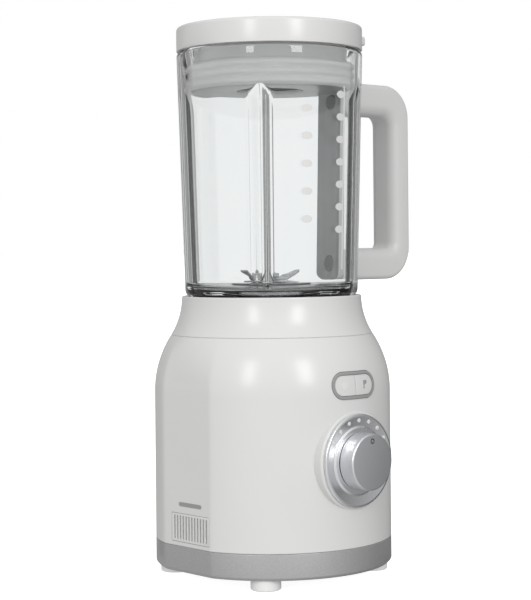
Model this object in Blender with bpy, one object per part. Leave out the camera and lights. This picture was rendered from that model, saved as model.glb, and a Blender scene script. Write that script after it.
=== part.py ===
"""Countertop blender with a round glass jar, piece by piece, each at its real size around the drive axis.

The front faces -Y, the handle points to +X and the drive axis is vertical.
"""

import math

import bmesh
import bpy
from mathutils import Vector

MM = 0.001
GAP = 0.3 * MM

# Round pieces: sides of the large, medium and small ones.
LARGE = 36
MEDIUM = 20
SMALL = 12
JAR_SIDES = 48

# Base housing: a straight body, a round shoulder up to the seam, and a hollow-curved neck above it.
BODY_RADIUS = 91.0 * MM
NECK_RADIUS = 69.5 * MM
FLAT_SHARE = 0.956
FLAT_FADE_START = 150.0 * MM
SHOULDER_START = 140.0 * MM
SHOULDER_ARC = 78.3 * MM
NECK_ARC = 56.0 * MM
SEAM_HEIGHT = 183.5 * MM
BASE_HEIGHT = 213.0 * MM
WALL = 3.0 * MM
TRIM_BOTTOM = 8.5 * MM
TRIM_TOP = 28.0 * MM
TRIM_WALL = 4.5 * MM
PLATE_TOP = 12.0 * MM
FOOT_RADIUS = 11.25 * MM
FOOT_X = 56.0 * MM
FOOT_Y = 52.0 * MM
DECK_TOP = 197.0 * MM
DECK_BOTTOM = 194.0 * MM
SEAT_RADIUS = 65.0 * MM
DRIVE_WELL = 24.0 * MM
GRILLE_CENTRE_Y = -3.5 * MM
GRILLE_CENTRE_Z = 42.0 * MM
GRILLE_WIDTH = 43.0 * MM
GRILLE_HEIGHT = 21.0 * MM
GRILLE_SLOTS = 12
GRILLE_PITCH = 3.3 * MM

# Controls on the front.
KNOB_HEIGHT = 92.5 * MM
BOSS_RADIUS = 36.5 * MM
BOSS_FACE = 91.5 * MM
BEZEL_RADIUS = 34.5 * MM
KNOB_RADIUS = 21.25 * MM
KNOB_FACE = 107.5 * MM
KNOB_BACK = 94.9 * MM
KNOB_SHAFT_RADIUS = 3.0 * MM
PILL_HEIGHT = 148.0 * MM
PILL_HALF_LENGTH = 21.75 * MM
PILL_HALF_WIDTH = 10.0 * MM
PILL_RIM = 2.2 * MM
BUTTON_BACK = 82.0 * MM
GLAND_HEIGHT = 44.0 * MM
GLAND_REACH = 94.0 * MM

# Drive train.
SHAFT_RADIUS = 4.0 * MM
SHAFT_BORE = 4.3 * MM
SHAFT_BOTTOM = 43.0 * MM
SHAFT_TOP = 196.0 * MM
STATOR_BOTTOM = 95.0 * MM
STATOR_TOP = 150.0 * MM
STATOR_RADIUS = 42.0 * MM
STATOR_FLAT = 36.0 * MM
POLE_BORE = 23.0 * MM
SLOT_BORE = 33.0 * MM
COIL_RADIUS = 28.0 * MM
COIL_THICKNESS = 4.0 * MM
COIL_SPREAD = math.radians(65.0)
ARMATURE_RADIUS = 22.3 * MM
COMMUTATOR_RADIUS = 11.0 * MM
BEARING_RADIUS = 11.0 * MM
LEG_INNER = 36.0 * MM
LEG_OUTER = 41.0 * MM
COUPLING_TEETH = 6
FAN_BLADES = 8

# Jar, blades and handle.
JAR_BOTTOM = 211.0 * MM
JAR_FLOOR = 217.5 * MM
JAR_TOP = 400.0 * MM
JAR_FOOT_RADIUS = 66.7 * MM
JAR_RIM_RADIUS = 72.0 * MM
JAR_CORNER = 7.0 * MM
GLASS = 5.0 * MM
JAR_HOLE = 26.0 * MM
RIB_COUNT = 4
RIB_SPACING = math.radians(82.5)
RIB_HALF_ANGLE = math.radians(7.5)
RIB_DEPTH = 5.0 * MM
RIB_END = 372.0 * MM
RIB_FADE = 12.0 * MM
JAR_TURN = math.radians(3.75)
SPOUT_START = 383.0 * MM
SPOUT_REACH = 6.0 * MM
SPOUT_SPREAD = math.radians(11.0)
SPINE_HALF_WIDTH = 14.35 * MM
SPINE_OUTER = 76.5 * MM
SPINE_BOTTOM = 223.0 * MM
SPINE_TOP = 378.0 * MM
HANDLE_HALF_WIDTH = 14.2 * MM
HANDLE_OUTER = 143.8 * MM
HANDLE_INNER = 124.0 * MM
HANDLE_BOTTOM = 223.2 * MM
HANDLE_TOP = 381.3 * MM
GRIP_BOTTOM = 248.5 * MM
GRIP_TOP = 356.0 * MM
SCREW_HEIGHTS = {"upper": 366.0 * MM, "lower": 238.0 * MM}
SCREW_HEAD_RADIUS = 6.0 * MM
BLADE_REACH = 29.0 * MM
BLADE_THICKNESS = 1.4 * MM
NUT_HALF_WIDTH = 5.5 * MM

# Lid and measuring cap.
LID_RADIUS = 72.0 * MM
LID_BOTTOM = 401.5 * MM
LID_TOP = 420.0 * MM
PLUG_RADIUS = 60.0 * MM
PLUG_BOTTOM = 371.0 * MM
GASKET_TOP = 391.0 * MM
GASKET_RADIUS = 65.7 * MM
CAP_RADIUS = 25.4 * MM
CAP_FLANGE = 30.1 * MM
CAP_BOTTOM = 376.0 * MM
TAB_REACH = 97.0 * MM

# The drive axis stands beside the middle of the whole object's footprint.
AXIS_X = -(HANDLE_OUTER - FLAT_SHARE * BODY_RADIUS) / 2
AXIS_Y = (KNOB_FACE - GLAND_REACH) / 2

# Finishes: colour, roughness, metallic.
FINISHES = {
    "white_gloss": ((0.80, 0.80, 0.79), 0.32, 0.0),
    "silver_paint": ((0.50, 0.50, 0.50), 0.38, 0.7),
    "pale_rubber": ((0.70, 0.70, 0.69), 0.7, 0.0),
    "polished_chrome": ((0.72, 0.72, 0.72), 0.12, 1.0),
    "satin_aluminium": ((0.55, 0.55, 0.56), 0.35, 1.0),
    "clear_glass": ((0.86, 0.88, 0.88), 0.03, 0.0),
    "white_silicone": ((0.78, 0.78, 0.77), 0.5, 0.0),
    "grey_plastic": ((0.30, 0.30, 0.31), 0.5, 0.0),
    "black_plastic": ((0.04, 0.04, 0.04), 0.5, 0.0),
    "bright_steel": ((0.62, 0.62, 0.63), 0.25, 1.0),
    "core_steel": ((0.28, 0.28, 0.29), 0.5, 1.0),
    "enamelled_copper": ((0.60, 0.27, 0.10), 0.35, 1.0),
    "brass": ((0.72, 0.55, 0.25), 0.35, 1.0),
    "carbon": ((0.03, 0.03, 0.03), 0.8, 0.0),
    "board_green": ((0.05, 0.22, 0.10), 0.5, 0.0),
}


def clear_scene():
    for thing in list(bpy.data.objects):
        bpy.data.objects.remove(thing, do_unlink=True)


def finish(name):
    """The named finish as a material, made the first time it is asked for."""
    if name in bpy.data.materials:
        return bpy.data.materials[name]
    colour, roughness, metallic = FINISHES[name]
    material = bpy.data.materials.new(name)
    material.use_nodes = True
    shader = material.node_tree.nodes["Principled BSDF"]
    shader.inputs["Base Color"].default_value = (*colour, 1.0)
    shader.inputs["Roughness"].default_value = roughness
    shader.inputs["Metallic"].default_value = metallic
    if name == "clear_glass":
        shader.inputs["Transmission Weight"].default_value = 1.0
    return material


def empty(name, location, parent=None, rotation=(0.0, 0.0, 0.0)):
    """A joint's frame: an empty on its axis."""
    made = bpy.data.objects.new(name, None)
    bpy.context.scene.collection.objects.link(made)
    made.location = location
    made.rotation_euler = rotation
    made.parent = parent
    return made


def solid(name, shape, look, parent):
    """Turns a bmesh into a named object with its finish, its faces pointing out."""
    bmesh.ops.recalc_face_normals(shape, faces=shape.faces)
    mesh = bpy.data.meshes.new(name)
    shape.to_mesh(mesh)
    shape.free()
    mesh.materials.append(finish(look))
    mesh.shade_smooth()
    mesh.set_sharp_from_angle(angle=math.radians(35.0))
    made = bpy.data.objects.new(name, mesh)
    bpy.context.scene.collection.objects.link(made)
    made.parent = parent
    return made


def turned(name, outline, look, parent, sides=MEDIUM):
    """Spins an outline of (radius, height) points round the parent's Z axis.

    An outline whose first and last points are on the axis stays open there, and any other is closed.
    """
    shape = bmesh.new()
    points = [shape.verts.new((radius, 0.0, height)) for radius, height in outline]
    edges = [shape.edges.new(pair) for pair in zip(points, points[1:])]
    if outline[0][0] > 0.0:
        edges.append(shape.edges.new((points[-1], points[0])))
    bmesh.ops.spin(
        shape,
        geom=points + edges,
        cent=(0, 0, 0),
        axis=(0, 0, 1),
        angle=2 * math.pi,
        steps=sides,
        use_merge=True,
    )
    bmesh.ops.remove_doubles(shape, verts=shape.verts, dist=1e-6)
    return solid(name, shape, look, parent)


def skinned(name, rings, look, parent, closed=True):
    """Joins rings of equally many points side to side, and the last to the first, or else caps both ends."""
    shape = bmesh.new()
    loops = [[shape.verts.new(point) for point in ring] for ring in rings]
    following = loops[1:] + loops[:1] if closed else loops[1:]
    for loop, after in zip(loops, following):
        count = len(loop)
        for i in range(count):
            j = (i + 1) % count
            shape.faces.new((loop[i], loop[j], after[j], after[i]))
    if not closed:
        shape.faces.new(loops[0])
        shape.faces.new(loops[-1])
    return solid(name, shape, look, parent)


def extruded(name, outline, low, high, look, parent):
    """Extrudes an outline in the parent's XY plane from height low to height high."""
    shape = bmesh.new()
    face = shape.faces.new([shape.verts.new((x, y, low)) for x, y in outline])
    raised = bmesh.ops.extrude_face_region(shape, geom=[face])["geom"]
    corners = [item for item in raised if isinstance(item, bmesh.types.BMVert)]
    bmesh.ops.translate(shape, verts=corners, vec=(0.0, 0.0, high - low))
    return solid(name, shape, look, parent)


def block(name, low, high, look, parent):
    """A rectangular block between two corners."""
    outline = [(low[0], low[1]), (high[0], low[1]), (high[0], high[1]), (low[0], high[1])]
    return extruded(name, outline, low[2], high[2], look, parent)


def bevelled(piece, width, segments=1, angle=30.0):
    bevel = piece.modifiers.new("edges", "BEVEL")
    bevel.width = width
    bevel.segments = segments
    bevel.limit_method = "ANGLE"
    bevel.angle_limit = math.radians(angle)
    return piece


def helper(piece):
    """Hides a piece that only shapes another."""
    piece.hide_render = True
    piece.display_type = "WIRE"
    return piece


def combine(piece, operation, *tools):
    """Cuts, joins or crops a piece with helper solids."""
    for tool in tools:
        boolean = piece.modifiers.new(tool.name, "BOOLEAN")
        boolean.operation = operation
        boolean.object = helper(tool)
    return piece


def circle(radius, height, sides, start=0.0):
    turns = [start + 2 * math.pi * i / sides for i in range(sides)]
    return [(radius * math.cos(turn), radius * math.sin(turn), height) for turn in turns]


def polar_ring(radius_at, height, sides, start=0.0):
    """A ring whose radius follows a function of the angle."""
    turns = [start + 2 * math.pi * i / sides for i in range(sides)]
    return [(radius_at(turn) * math.cos(turn), radius_at(turn) * math.sin(turn), height) for turn in turns]


def rounded_corner(corner, before, after, radius, steps=4):
    """Points of the arc that rounds a corner between the directions to its two neighbours."""
    corner, before, after = Vector(corner), Vector(before), Vector(after)
    into = (before - corner).normalized()
    out = (after - corner).normalized()
    half = into.angle(out) / 2
    reach = radius / math.tan(half)
    centre = corner + (into + out).normalized() * (radius / math.sin(half))
    start = corner + into * reach - centre
    end = corner + out * reach - centre
    arc = start.angle(end)
    points = []
    for i in range(steps + 1):
        share = i / steps
        spoke = start * math.sin((1 - share) * arc) + end * math.sin(share * arc)
        points.append(tuple(centre + spoke / math.sin(arc)))
    return points


def rounded_outline(corners):
    """An outline from (x, y, radius) corners, each rounded by its own radius."""
    points = []
    for i, (x, y, radius) in enumerate(corners):
        before = corners[i - 1][:2]
        after = corners[(i + 1) % len(corners)][:2]
        points += rounded_corner((x, y), before, after, radius) if radius else [(x, y)]
    return points


def stadium(half_length, half_width, steps=8):
    """A pill-shaped outline."""
    straight = half_length - half_width
    points = []
    for side in (1, -1):
        for i in range(steps + 1):
            turn = -side * math.pi / 2 + math.pi * i / steps
            points.append((side * straight + half_width * math.cos(turn), half_width * math.sin(turn)))
    return points


def body_radius(height):
    """Radius of the base's outer surface at a height."""
    if height >= SEAM_HEIGHT:
        return NECK_RADIUS + NECK_ARC - math.sqrt(NECK_ARC**2 - (BASE_HEIGHT - height) ** 2)
    rise = max(0.0, height - SHOULDER_START)
    return BODY_RADIUS - SHOULDER_ARC + math.sqrt(SHOULDER_ARC**2 - rise**2)


def flatness(height):
    """How far the side flats have formed: wholly on the body, not at all at the seam."""
    return min(1.0, max(0.0, (SEAM_HEIGHT - height) / (SEAM_HEIGHT - FLAT_FADE_START)))


def section_angles():
    """Angles from the front round the base's section, with one on each crease."""
    crease = math.asin(FLAT_SHARE)
    front = [crease * (i / 9) for i in range(-9, 10)]
    side = [crease + (math.pi - 2 * crease) * i / 4 for i in range(1, 4)]
    return front + side + [angle + math.pi for angle in front + side]


def section_ring(radius, height, flat=1.0):
    """The base's section at a height: a circle with a flat on each side."""
    points = []
    for angle in section_angles():
        share = 1.0 - flat * max(0.0, 1.0 - FLAT_SHARE / max(abs(math.sin(angle)), FLAT_SHARE))
        points.append((radius * share * math.sin(angle), -radius * share * math.cos(angle), height))
    return points


def body_ring(height, offset=0.0):
    return section_ring(body_radius(height) + offset, height, flatness(height))


def make_housing(base, front, rear):
    heights = [TRIM_TOP + GAP] + [SHOULDER_START + step * MM for step in (0, 10, 18, 26, 34)]
    heights.append(SEAM_HEIGHT - GAP)
    outer = [body_ring(height) for height in heights]
    inner = [body_ring(height, -WALL) for height in reversed(heights[::2])]
    housing = skinned("housing", outer + inner, "white_gloss", base)
    boss = turned("boss", disc(BOSS_RADIUS, 80.0 * MM, BOSS_FACE), "white_gloss", front, LARGE)
    pocket = turned("boss_pocket", disc(33.0 * MM, 60.0 * MM, BOSS_FACE - WALL), "white_gloss", front, LARGE)
    bore = turned("boss_bore", disc(5.0 * MM, 50.0 * MM, 100.0 * MM), "white_gloss", front, SMALL)
    pill = pill_prism("pill_hole", GAP, 60.0 * MM, front)
    inlet = turned("gland_hole", disc(6.3 * MM, 70.0 * MM, 100.0 * MM), "white_gloss", rear, MEDIUM)
    combine(housing, "UNION", boss)
    combine(housing, "DIFFERENCE", pocket, bore, pill, inlet)
    for side in ("left", "right"):
        combine(housing, "DIFFERENCE", grille_block(f"grille_hole_{side}", side, GAP, 20.0 * MM, base))


def disc(radius, low, high):
    """The outline of a plain solid cylinder."""
    return [(0.0, low), (radius, low), (radius, high), (0.0, high)]


def sleeve(inner, outer, low, high):
    """The outline of a plain ring."""
    return [(inner, low), (outer, low), (outer, high), (inner, high)]


def pill_prism(name, offset, low, front):
    """A pill-shaped prism that runs out through the front, grown by an offset."""
    outline = stadium(PILL_HALF_LENGTH + offset, PILL_HALF_WIDTH + offset)
    lifted = [(x, y + PILL_HEIGHT - KNOB_HEIGHT) for x, y in outline]
    return extruded(name, lifted, low, 100.0 * MM, "white_gloss", front)


def grille_block(name, side, offset, depth, base):
    """A block that fills a side's vent opening, from the flat inwards by its depth."""
    sign = -1 if side == "left" else 1
    flat = FLAT_SHARE * BODY_RADIUS
    ends = sorted((sign * (flat - depth), sign * (flat + (depth if offset else 0.0))))
    half_width = GRILLE_WIDTH / 2 + offset
    half_height = GRILLE_HEIGHT / 2 + offset
    low = (ends[0], GRILLE_CENTRE_Y - half_width, GRILLE_CENTRE_Z - half_height)
    high = (ends[1], GRILLE_CENTRE_Y + half_width, GRILLE_CENTRE_Z + half_height)
    return block(name, low, high, "white_gloss", base)


def make_grille(side, base):
    grille = grille_block(f"side_grille_{side}", side, 0.0, 2.6 * MM, base)
    sign = -1 if side == "left" else 1
    flat = FLAT_SHARE * BODY_RADIUS
    for i in range(GRILLE_SLOTS):
        middle = GRILLE_CENTRE_Y + (i - (GRILLE_SLOTS - 1) / 2) * GRILLE_PITCH
        low = (sign * flat - 5.0 * MM, middle - 0.95 * MM, GRILLE_CENTRE_Z - 9.0 * MM)
        high = (sign * flat + 5.0 * MM, middle + 0.95 * MM, GRILLE_CENTRE_Z + 9.0 * MM)
        combine(grille, "DIFFERENCE", block(f"slot_{side}_{i}", low, high, "white_gloss", base))


def make_top_collar(base):
    outer = [(body_radius(SEAM_HEIGHT + share * (BASE_HEIGHT - SEAM_HEIGHT)), share) for share in
             (0.0, 0.12, 0.26, 0.42, 0.6, 0.8)]
    outline = [(radius, SEAM_HEIGHT + share * (BASE_HEIGHT - SEAM_HEIGHT)) for radius, share in outer]
    outline += [
        (NECK_RADIUS, BASE_HEIGHT - 1.0 * MM),
        (NECK_RADIUS - 1.0 * MM, BASE_HEIGHT),
        (SEAT_RADIUS, BASE_HEIGHT),
        (SEAT_RADIUS, DECK_TOP),
        (DRIVE_WELL, DECK_TOP),
        (DRIVE_WELL, DECK_BOTTOM),
        (66.0 * MM, DECK_BOTTOM),
        (body_radius(SEAM_HEIGHT) - WALL, SEAM_HEIGHT),
    ]
    collar = turned("top_collar", outline, "white_gloss", base, LARGE)
    plunger_hole = turned("plunger_hole", disc(3.0 * MM, 185.0 * MM, 205.0 * MM), "white_gloss", base, SMALL)
    plunger_hole.location.y = 60.0 * MM
    combine(collar, "DIFFERENCE", plunger_hole)


def make_foot_parts(base):
    trim_inner = BODY_RADIUS - TRIM_WALL
    rings = [
        section_ring(BODY_RADIUS - 2.0 * MM, TRIM_BOTTOM),
        section_ring(BODY_RADIUS, TRIM_BOTTOM + 2.0 * MM),
        section_ring(BODY_RADIUS, TRIM_TOP),
        section_ring(trim_inner, TRIM_TOP),
        section_ring(trim_inner, TRIM_BOTTOM),
    ]
    skinned("trim_band", rings, "silver_paint", base)
    edge = trim_inner - 0.4 * MM
    rings = [section_ring(edge, TRIM_BOTTOM + 0.1 * MM), section_ring(edge, PLATE_TOP)]
    plate = skinned("bottom_plate", rings, "grey_plastic", base, closed=False)
    for i in range(8):
        low, high = (18 * MM, -2 * MM, 0.0), (38 * MM, 2 * MM, 20 * MM)
        slot = block(f"floor_slot_{i}", low, high, "grey_plastic", base)
        slot.rotation_euler.z = 2 * math.pi * i / 8
        combine(plate, "DIFFERENCE", slot)
    for row, y in (("front", -FOOT_Y), ("rear", FOOT_Y)):
        for column, x in (("left", -FOOT_X), ("right", FOOT_X)):
            make_foot(f"{row}_{column}", x, y, plate, base)


def make_foot(place, x, y, plate, base):
    top = TRIM_BOTTOM - 0.2 * MM
    outline = [
        (5.0 * MM, 0.0),
        (FOOT_RADIUS - 1.0 * MM, 0.0),
        (FOOT_RADIUS, 1.0 * MM),
        (FOOT_RADIUS, top),
        (2.6 * MM, top),
        (2.6 * MM, 4.0 * MM),
        (5.0 * MM, 4.0 * MM),
    ]
    foot = turned(f"foot_{place}", outline, "pale_rubber", base, 16)
    screw_outline = [
        (0.0, 1.6 * MM),
        (4.4 * MM, 1.6 * MM),
        (4.4 * MM, 3.7 * MM),
        (2.0 * MM, 3.7 * MM),
        (2.0 * MM, 24.0 * MM),
        (0.0, 24.0 * MM),
    ]
    screw = turned(f"foot_screw_{place}", screw_outline, "bright_steel", base, SMALL)
    hole = turned(f"screw_hole_{place}", disc(2.4 * MM, 5.0 * MM, 20.0 * MM), "grey_plastic", base, SMALL)
    for piece in (foot, screw, hole):
        piece.location = (x, y, 0.0)
    combine(plate, "DIFFERENCE", hole)


def make_controls(base, front, knob, buttons):
    bezel = [
        (5.0 * MM, BOSS_FACE + GAP),
        (BEZEL_RADIUS, BOSS_FACE + GAP),
        (BEZEL_RADIUS, 93.6 * MM),
        (BEZEL_RADIUS - 2.0 * MM, 94.3 * MM),
        (25.0 * MM, 93.2 * MM),
        (23.0 * MM, 94.4 * MM),
        (5.0 * MM, 94.4 * MM),
    ]
    turned("knob_bezel", bezel, "polished_chrome", front, LARGE)
    turned("selector_switch", sleeve(3.4 * MM, 15.0 * MM, 74.0 * MM, 88.2 * MM), "black_plastic", front)
    outline = [
        (0.0, 76.0 * MM),
        (KNOB_SHAFT_RADIUS, 76.0 * MM),
        (KNOB_SHAFT_RADIUS, KNOB_BACK),
        (KNOB_RADIUS, KNOB_BACK),
        (KNOB_RADIUS, KNOB_FACE - 1.2 * MM),
        (KNOB_RADIUS - 1.2 * MM, KNOB_FACE),
        (0.0, KNOB_FACE),
    ]
    turned("speed_knob", outline, "satin_aluminium", knob, LARGE)
    frame = crop_to_body(pill_prism("button_frame", 0.0, 86.0 * MM, front), 0.6 * MM, base)
    combine(frame, "DIFFERENCE", pill_prism("frame_window", -PILL_RIM, 80.0 * MM, front))
    for name, sign in (("ice_button", -1), ("pulse_button", 1)):
        make_button(name, sign, front, buttons[name], base)
    lift = PILL_HEIGHT - KNOB_HEIGHT
    low, high = (-20 * MM, lift - 9 * MM, 76.4 * MM), (20 * MM, lift + 9 * MM, 78 * MM)
    board = block("button_board", low, high, "board_green", front)
    for sign in (-1, 1):
        low = (sign * 9 * MM - 3 * MM, lift - 3 * MM, 77 * MM)
        high = (sign * 9 * MM + 3 * MM, lift + 3 * MM, 80.2 * MM)
        combine(board, "UNION", block(f"key_switch_{sign + 1}", low, high, "board_green", front))


def crop_to_body(piece, offset, base):
    """Crops a piece to the base's outer surface grown by an offset."""
    rings = [body_ring(height * MM, offset) for height in (130, 140, 146, 152, 158, 164)]
    limit = skinned(f"{piece.name}_limit", rings, "white_gloss", base, closed=False)
    return combine(piece, "INTERSECT", limit)


def make_button(name, sign, front, joint, base):
    """Half of the pill inside the frame, on its own joint frame."""
    inset = PILL_RIM + 0.35 * MM
    half_length = PILL_HALF_LENGTH - inset
    half_width = PILL_HALF_WIDTH - inset
    outline = [(x, y) for x, y in stadium(half_length, half_width) if sign * x > 0.0]
    edge = sign * 0.3 * MM
    ends = [(edge, half_width), (edge, -half_width)]
    centre = joint.location
    local = [(x - centre.x, y) for x, y in sort_round(outline + ends)]
    button = extruded(name, local, BUTTON_BACK, 100.0 * MM, "white_gloss", joint)
    crop_to_body(button, 0.1 * MM, base)


def sort_round(points):
    """Orders the points of a convex outline by their angle round its middle."""
    middle_x = sum(point[0] for point in points) / len(points)
    middle_y = sum(point[1] for point in points) / len(points)
    return sorted(points, key=lambda point: math.atan2(point[1] - middle_y, point[0] - middle_x))


def make_rear_inlet(rear):
    outline = [
        (3.6 * MM, 84.0 * MM),
        (8.5 * MM, 84.0 * MM),
        (8.5 * MM, 87.3 * MM),
        (6.0 * MM, 87.3 * MM),
        (6.0 * MM, 91.4 * MM),
        (8.5 * MM, 91.4 * MM),
        (7.0 * MM, GLAND_REACH),
        (3.6 * MM, GLAND_REACH),
    ]
    turned("cord_gland", outline, "grey_plastic", rear, 16)


def stator_outer(turn):
    return min(STATOR_RADIUS, STATOR_FLAT / max(abs(math.sin(turn)), 1e-6))


def stator_bore(turn):
    """The bore steps back into winding slots between the two poles."""
    from_pole = math.degrees(abs(math.atan2(math.sin(turn), abs(math.cos(turn)))))
    return POLE_BORE if from_pole < 47.0 else SLOT_BORE


def make_motor(base, rotor):
    sides = 48
    rings = [
        polar_ring(stator_outer, STATOR_BOTTOM, sides),
        polar_ring(stator_outer, STATOR_TOP, sides),
        polar_ring(stator_bore, STATOR_TOP, sides),
        polar_ring(stator_bore, STATOR_BOTTOM, sides),
    ]
    skinned("motor_stator", rings, "core_steel", base)
    make_coil("field_coil_right", 0.0, base)
    make_coil("field_coil_left", math.pi, base)
    make_brackets(base)
    for name, low in (("bearing_upper", 160.3 * MM), ("bearing_lower", 63.0 * MM)):
        turned(name, sleeve(SHAFT_BORE, BEARING_RADIUS, low, low + 7 * MM), "bright_steel", base)
    for name, sign in (("front", -1), ("rear", 1)):
        make_brush(name, sign, base)
    turned("motor_shaft", disc(SHAFT_RADIUS, SHAFT_BOTTOM, SHAFT_TOP), "bright_steel", rotor)
    outline = sleeve(SHAFT_BORE, COMMUTATOR_RADIUS, 75.0 * MM, 93.0 * MM)
    turned("commutator", outline, "enamelled_copper", rotor)
    make_armature(rotor)
    make_fan(rotor)


def make_coil(name, turn, base):
    """One field winding: a closed loop down one slot, under its pole, up the other slot and back."""
    half_height = (STATOR_TOP - STATOR_BOTTOM) / 2 + 5.0 * MM
    half_length = COIL_RADIUS * COIL_SPREAD
    corner = 8.0 * MM
    corners = [
        (half_length, half_height, corner),
        (-half_length, half_height, corner),
        (-half_length, -half_height, corner),
        (half_length, -half_height, corner),
    ]
    flat = rounded_outline(corners)
    path = []
    for (x, y), (next_x, next_y) in zip(flat, flat[1:] + flat[:1]):
        pieces = max(1, round(abs(next_x - x) / (7.0 * MM)))
        path += [(x + (next_x - x) * i / pieces, y + (next_y - y) * i / pieces) for i in range(pieces)]
    curve = bpy.data.curves.new(name, "CURVE")
    curve.dimensions = "3D"
    curve.bevel_depth = COIL_THICKNESS
    curve.bevel_resolution = 2
    spline = curve.splines.new("POLY")
    spline.points.add(len(path) - 1)
    spline.use_cyclic_u = True
    middle = (STATOR_TOP + STATOR_BOTTOM) / 2
    for point, (along, height) in zip(spline.points, path):
        angle = along / COIL_RADIUS
        point.co = (COIL_RADIUS * math.cos(angle), COIL_RADIUS * math.sin(angle), middle + height, 1.0)
    curve.materials.append(finish("enamelled_copper"))
    coil = bpy.data.objects.new(name, curve)
    bpy.context.scene.collection.objects.link(coil)
    coil.parent = base
    coil.rotation_euler.z = turn


def make_brackets(base):
    """Bearing brackets above and below the stator, and the rubber mounts under the deck."""
    seat = bearing_boss(157.0 * MM, 160.0 * MM, 170.0 * MM)
    upper = turned("motor_bracket_upper", seat, "satin_aluminium", base)
    seat = bearing_boss(60.0 * MM, 62.7 * MM, 72.0 * MM)
    lower = turned("motor_bracket_lower", seat, "satin_aluminium", base)
    for sign, side in ((-1, "left"), (1, "right")):
        arm = bar(f"upper_arm_{side}", sign, (12 * MM, 46 * MM), 9 * MM, (161 * MM, 165 * MM), base)
        legs = (LEG_INNER, LEG_OUTER)
        leg = bar(f"upper_leg_{side}", sign, legs, 8 * MM, (STATOR_TOP + GAP, 163 * MM), base)
        combine(upper, "UNION", arm, leg)
        arm = bar(f"lower_arm_{side}", sign, (12 * MM, LEG_OUTER), 9 * MM, (63 * MM, 67 * MM), base)
        leg = bar(f"lower_leg_{side}", sign, legs, 8 * MM, (65 * MM, STATOR_BOTTOM - GAP), base)
        shelf = bar(f"shelf_{side}", sign, (12 * MM, 32 * MM), 6 * MM, (63.5 * MM, 67.5 * MM), base)
        post = bar(f"post_{side}", sign, (18 * MM, 30 * MM), 4 * MM, (66 * MM, 75 * MM - GAP), base)
        for brush_rest in (shelf, post):
            brush_rest.rotation_euler.z = math.pi / 2
        combine(lower, "UNION", arm, leg, shelf, post)
        rubber = disc(7 * MM, 165 * MM + GAP, DECK_BOTTOM - GAP)
        mount = turned(f"motor_mount_{side}", rubber, "black_plastic", base, SMALL)
        mount.location.x = sign * 38.0 * MM


def bar(name, sign, reach, half_width, heights, base):
    """A flat bar that runs outwards from the shaft, to the right for a sign of 1 and to the left for -1."""
    ends = sorted(sign * distance for distance in reach)
    low, high = (ends[0], -half_width, heights[0]), (ends[1], half_width, heights[1])
    return block(name, low, high, "core_steel", base)


def bearing_boss(low, ledge, high):
    """A bearing housing, open at the top, with a clearance hole for the shaft below."""
    return [
        (6.0 * MM, low),
        (14.0 * MM, low),
        (14.0 * MM, high),
        (BEARING_RADIUS + GAP, high),
        (BEARING_RADIUS + GAP, ledge),
        (6.0 * MM, ledge),
    ]


def square_ring(half, reach, middle):
    """A square across the brush's path, at a reach from the shaft."""
    return [(-half, reach, middle - half), (half, reach, middle - half),
            (half, reach, middle + half), (-half, reach, middle + half)]


def make_brush(name, sign, base):
    middle = 79.5 * MM
    holder = [
        square_ring(4.5 * MM, sign * 13.0 * MM, middle),
        square_ring(4.5 * MM, sign * 32.0 * MM, middle),
        square_ring(3.3 * MM, sign * 32.0 * MM, middle),
        square_ring(3.3 * MM, sign * 13.0 * MM, middle),
    ]
    skinned(f"brush_holder_{name}", holder, "brass", base)
    brush = [
        square_ring(3.0 * MM, sign * (COMMUTATOR_RADIUS + 0.4 * MM), middle),
        square_ring(3.0 * MM, sign * 27.0 * MM, middle),
    ]
    skinned(f"carbon_brush_{name}", brush, "carbon", base, closed=False)


def toothed(outer, inner, teeth, crown, root, height):
    """A ring of teeth: four points a tooth, at its crown's and its root's half-angles in degrees."""
    points = []
    for i in range(teeth):
        middle = 360.0 * i / teeth
        for radius, offset in ((inner, -root), (outer, -crown), (outer, crown), (inner, root)):
            turn = math.radians(middle + offset)
            points.append((radius * math.cos(turn), radius * math.sin(turn), height))
    return points


def round_toothed(radius, teeth, crown, root, height):
    """A plain circle with its points at the same angles as a toothed ring's."""
    return toothed(radius, radius, teeth, crown, root, height)


def make_armature(rotor):
    shape = (12, 9.0, 12.0)
    low, high = STATOR_BOTTOM + 1 * MM, STATOR_TOP - 1 * MM
    rings = [
        toothed(ARMATURE_RADIUS, 17.5 * MM, *shape, low),
        toothed(ARMATURE_RADIUS, 17.5 * MM, *shape, high),
        round_toothed(SHAFT_BORE, *shape, high),
        round_toothed(SHAFT_BORE, *shape, low),
    ]
    skinned("armature_core", rings, "core_steel", rotor)


def make_fan(rotor):
    shape = (FAN_BLADES, 1.8, 7.0)
    rings = [
        toothed(34.0 * MM, 9.0 * MM, *shape, 44.0 * MM),
        toothed(34.0 * MM, 9.0 * MM, *shape, 55.0 * MM),
        round_toothed(36.0 * MM, *shape, 55.0 * MM),
        round_toothed(36.0 * MM, *shape, 57.0 * MM),
        round_toothed(SHAFT_BORE, *shape, 57.0 * MM),
        round_toothed(SHAFT_BORE, *shape, 44.0 * MM),
    ]
    skinned("cooling_fan", rings, "black_plastic", rotor)


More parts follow.
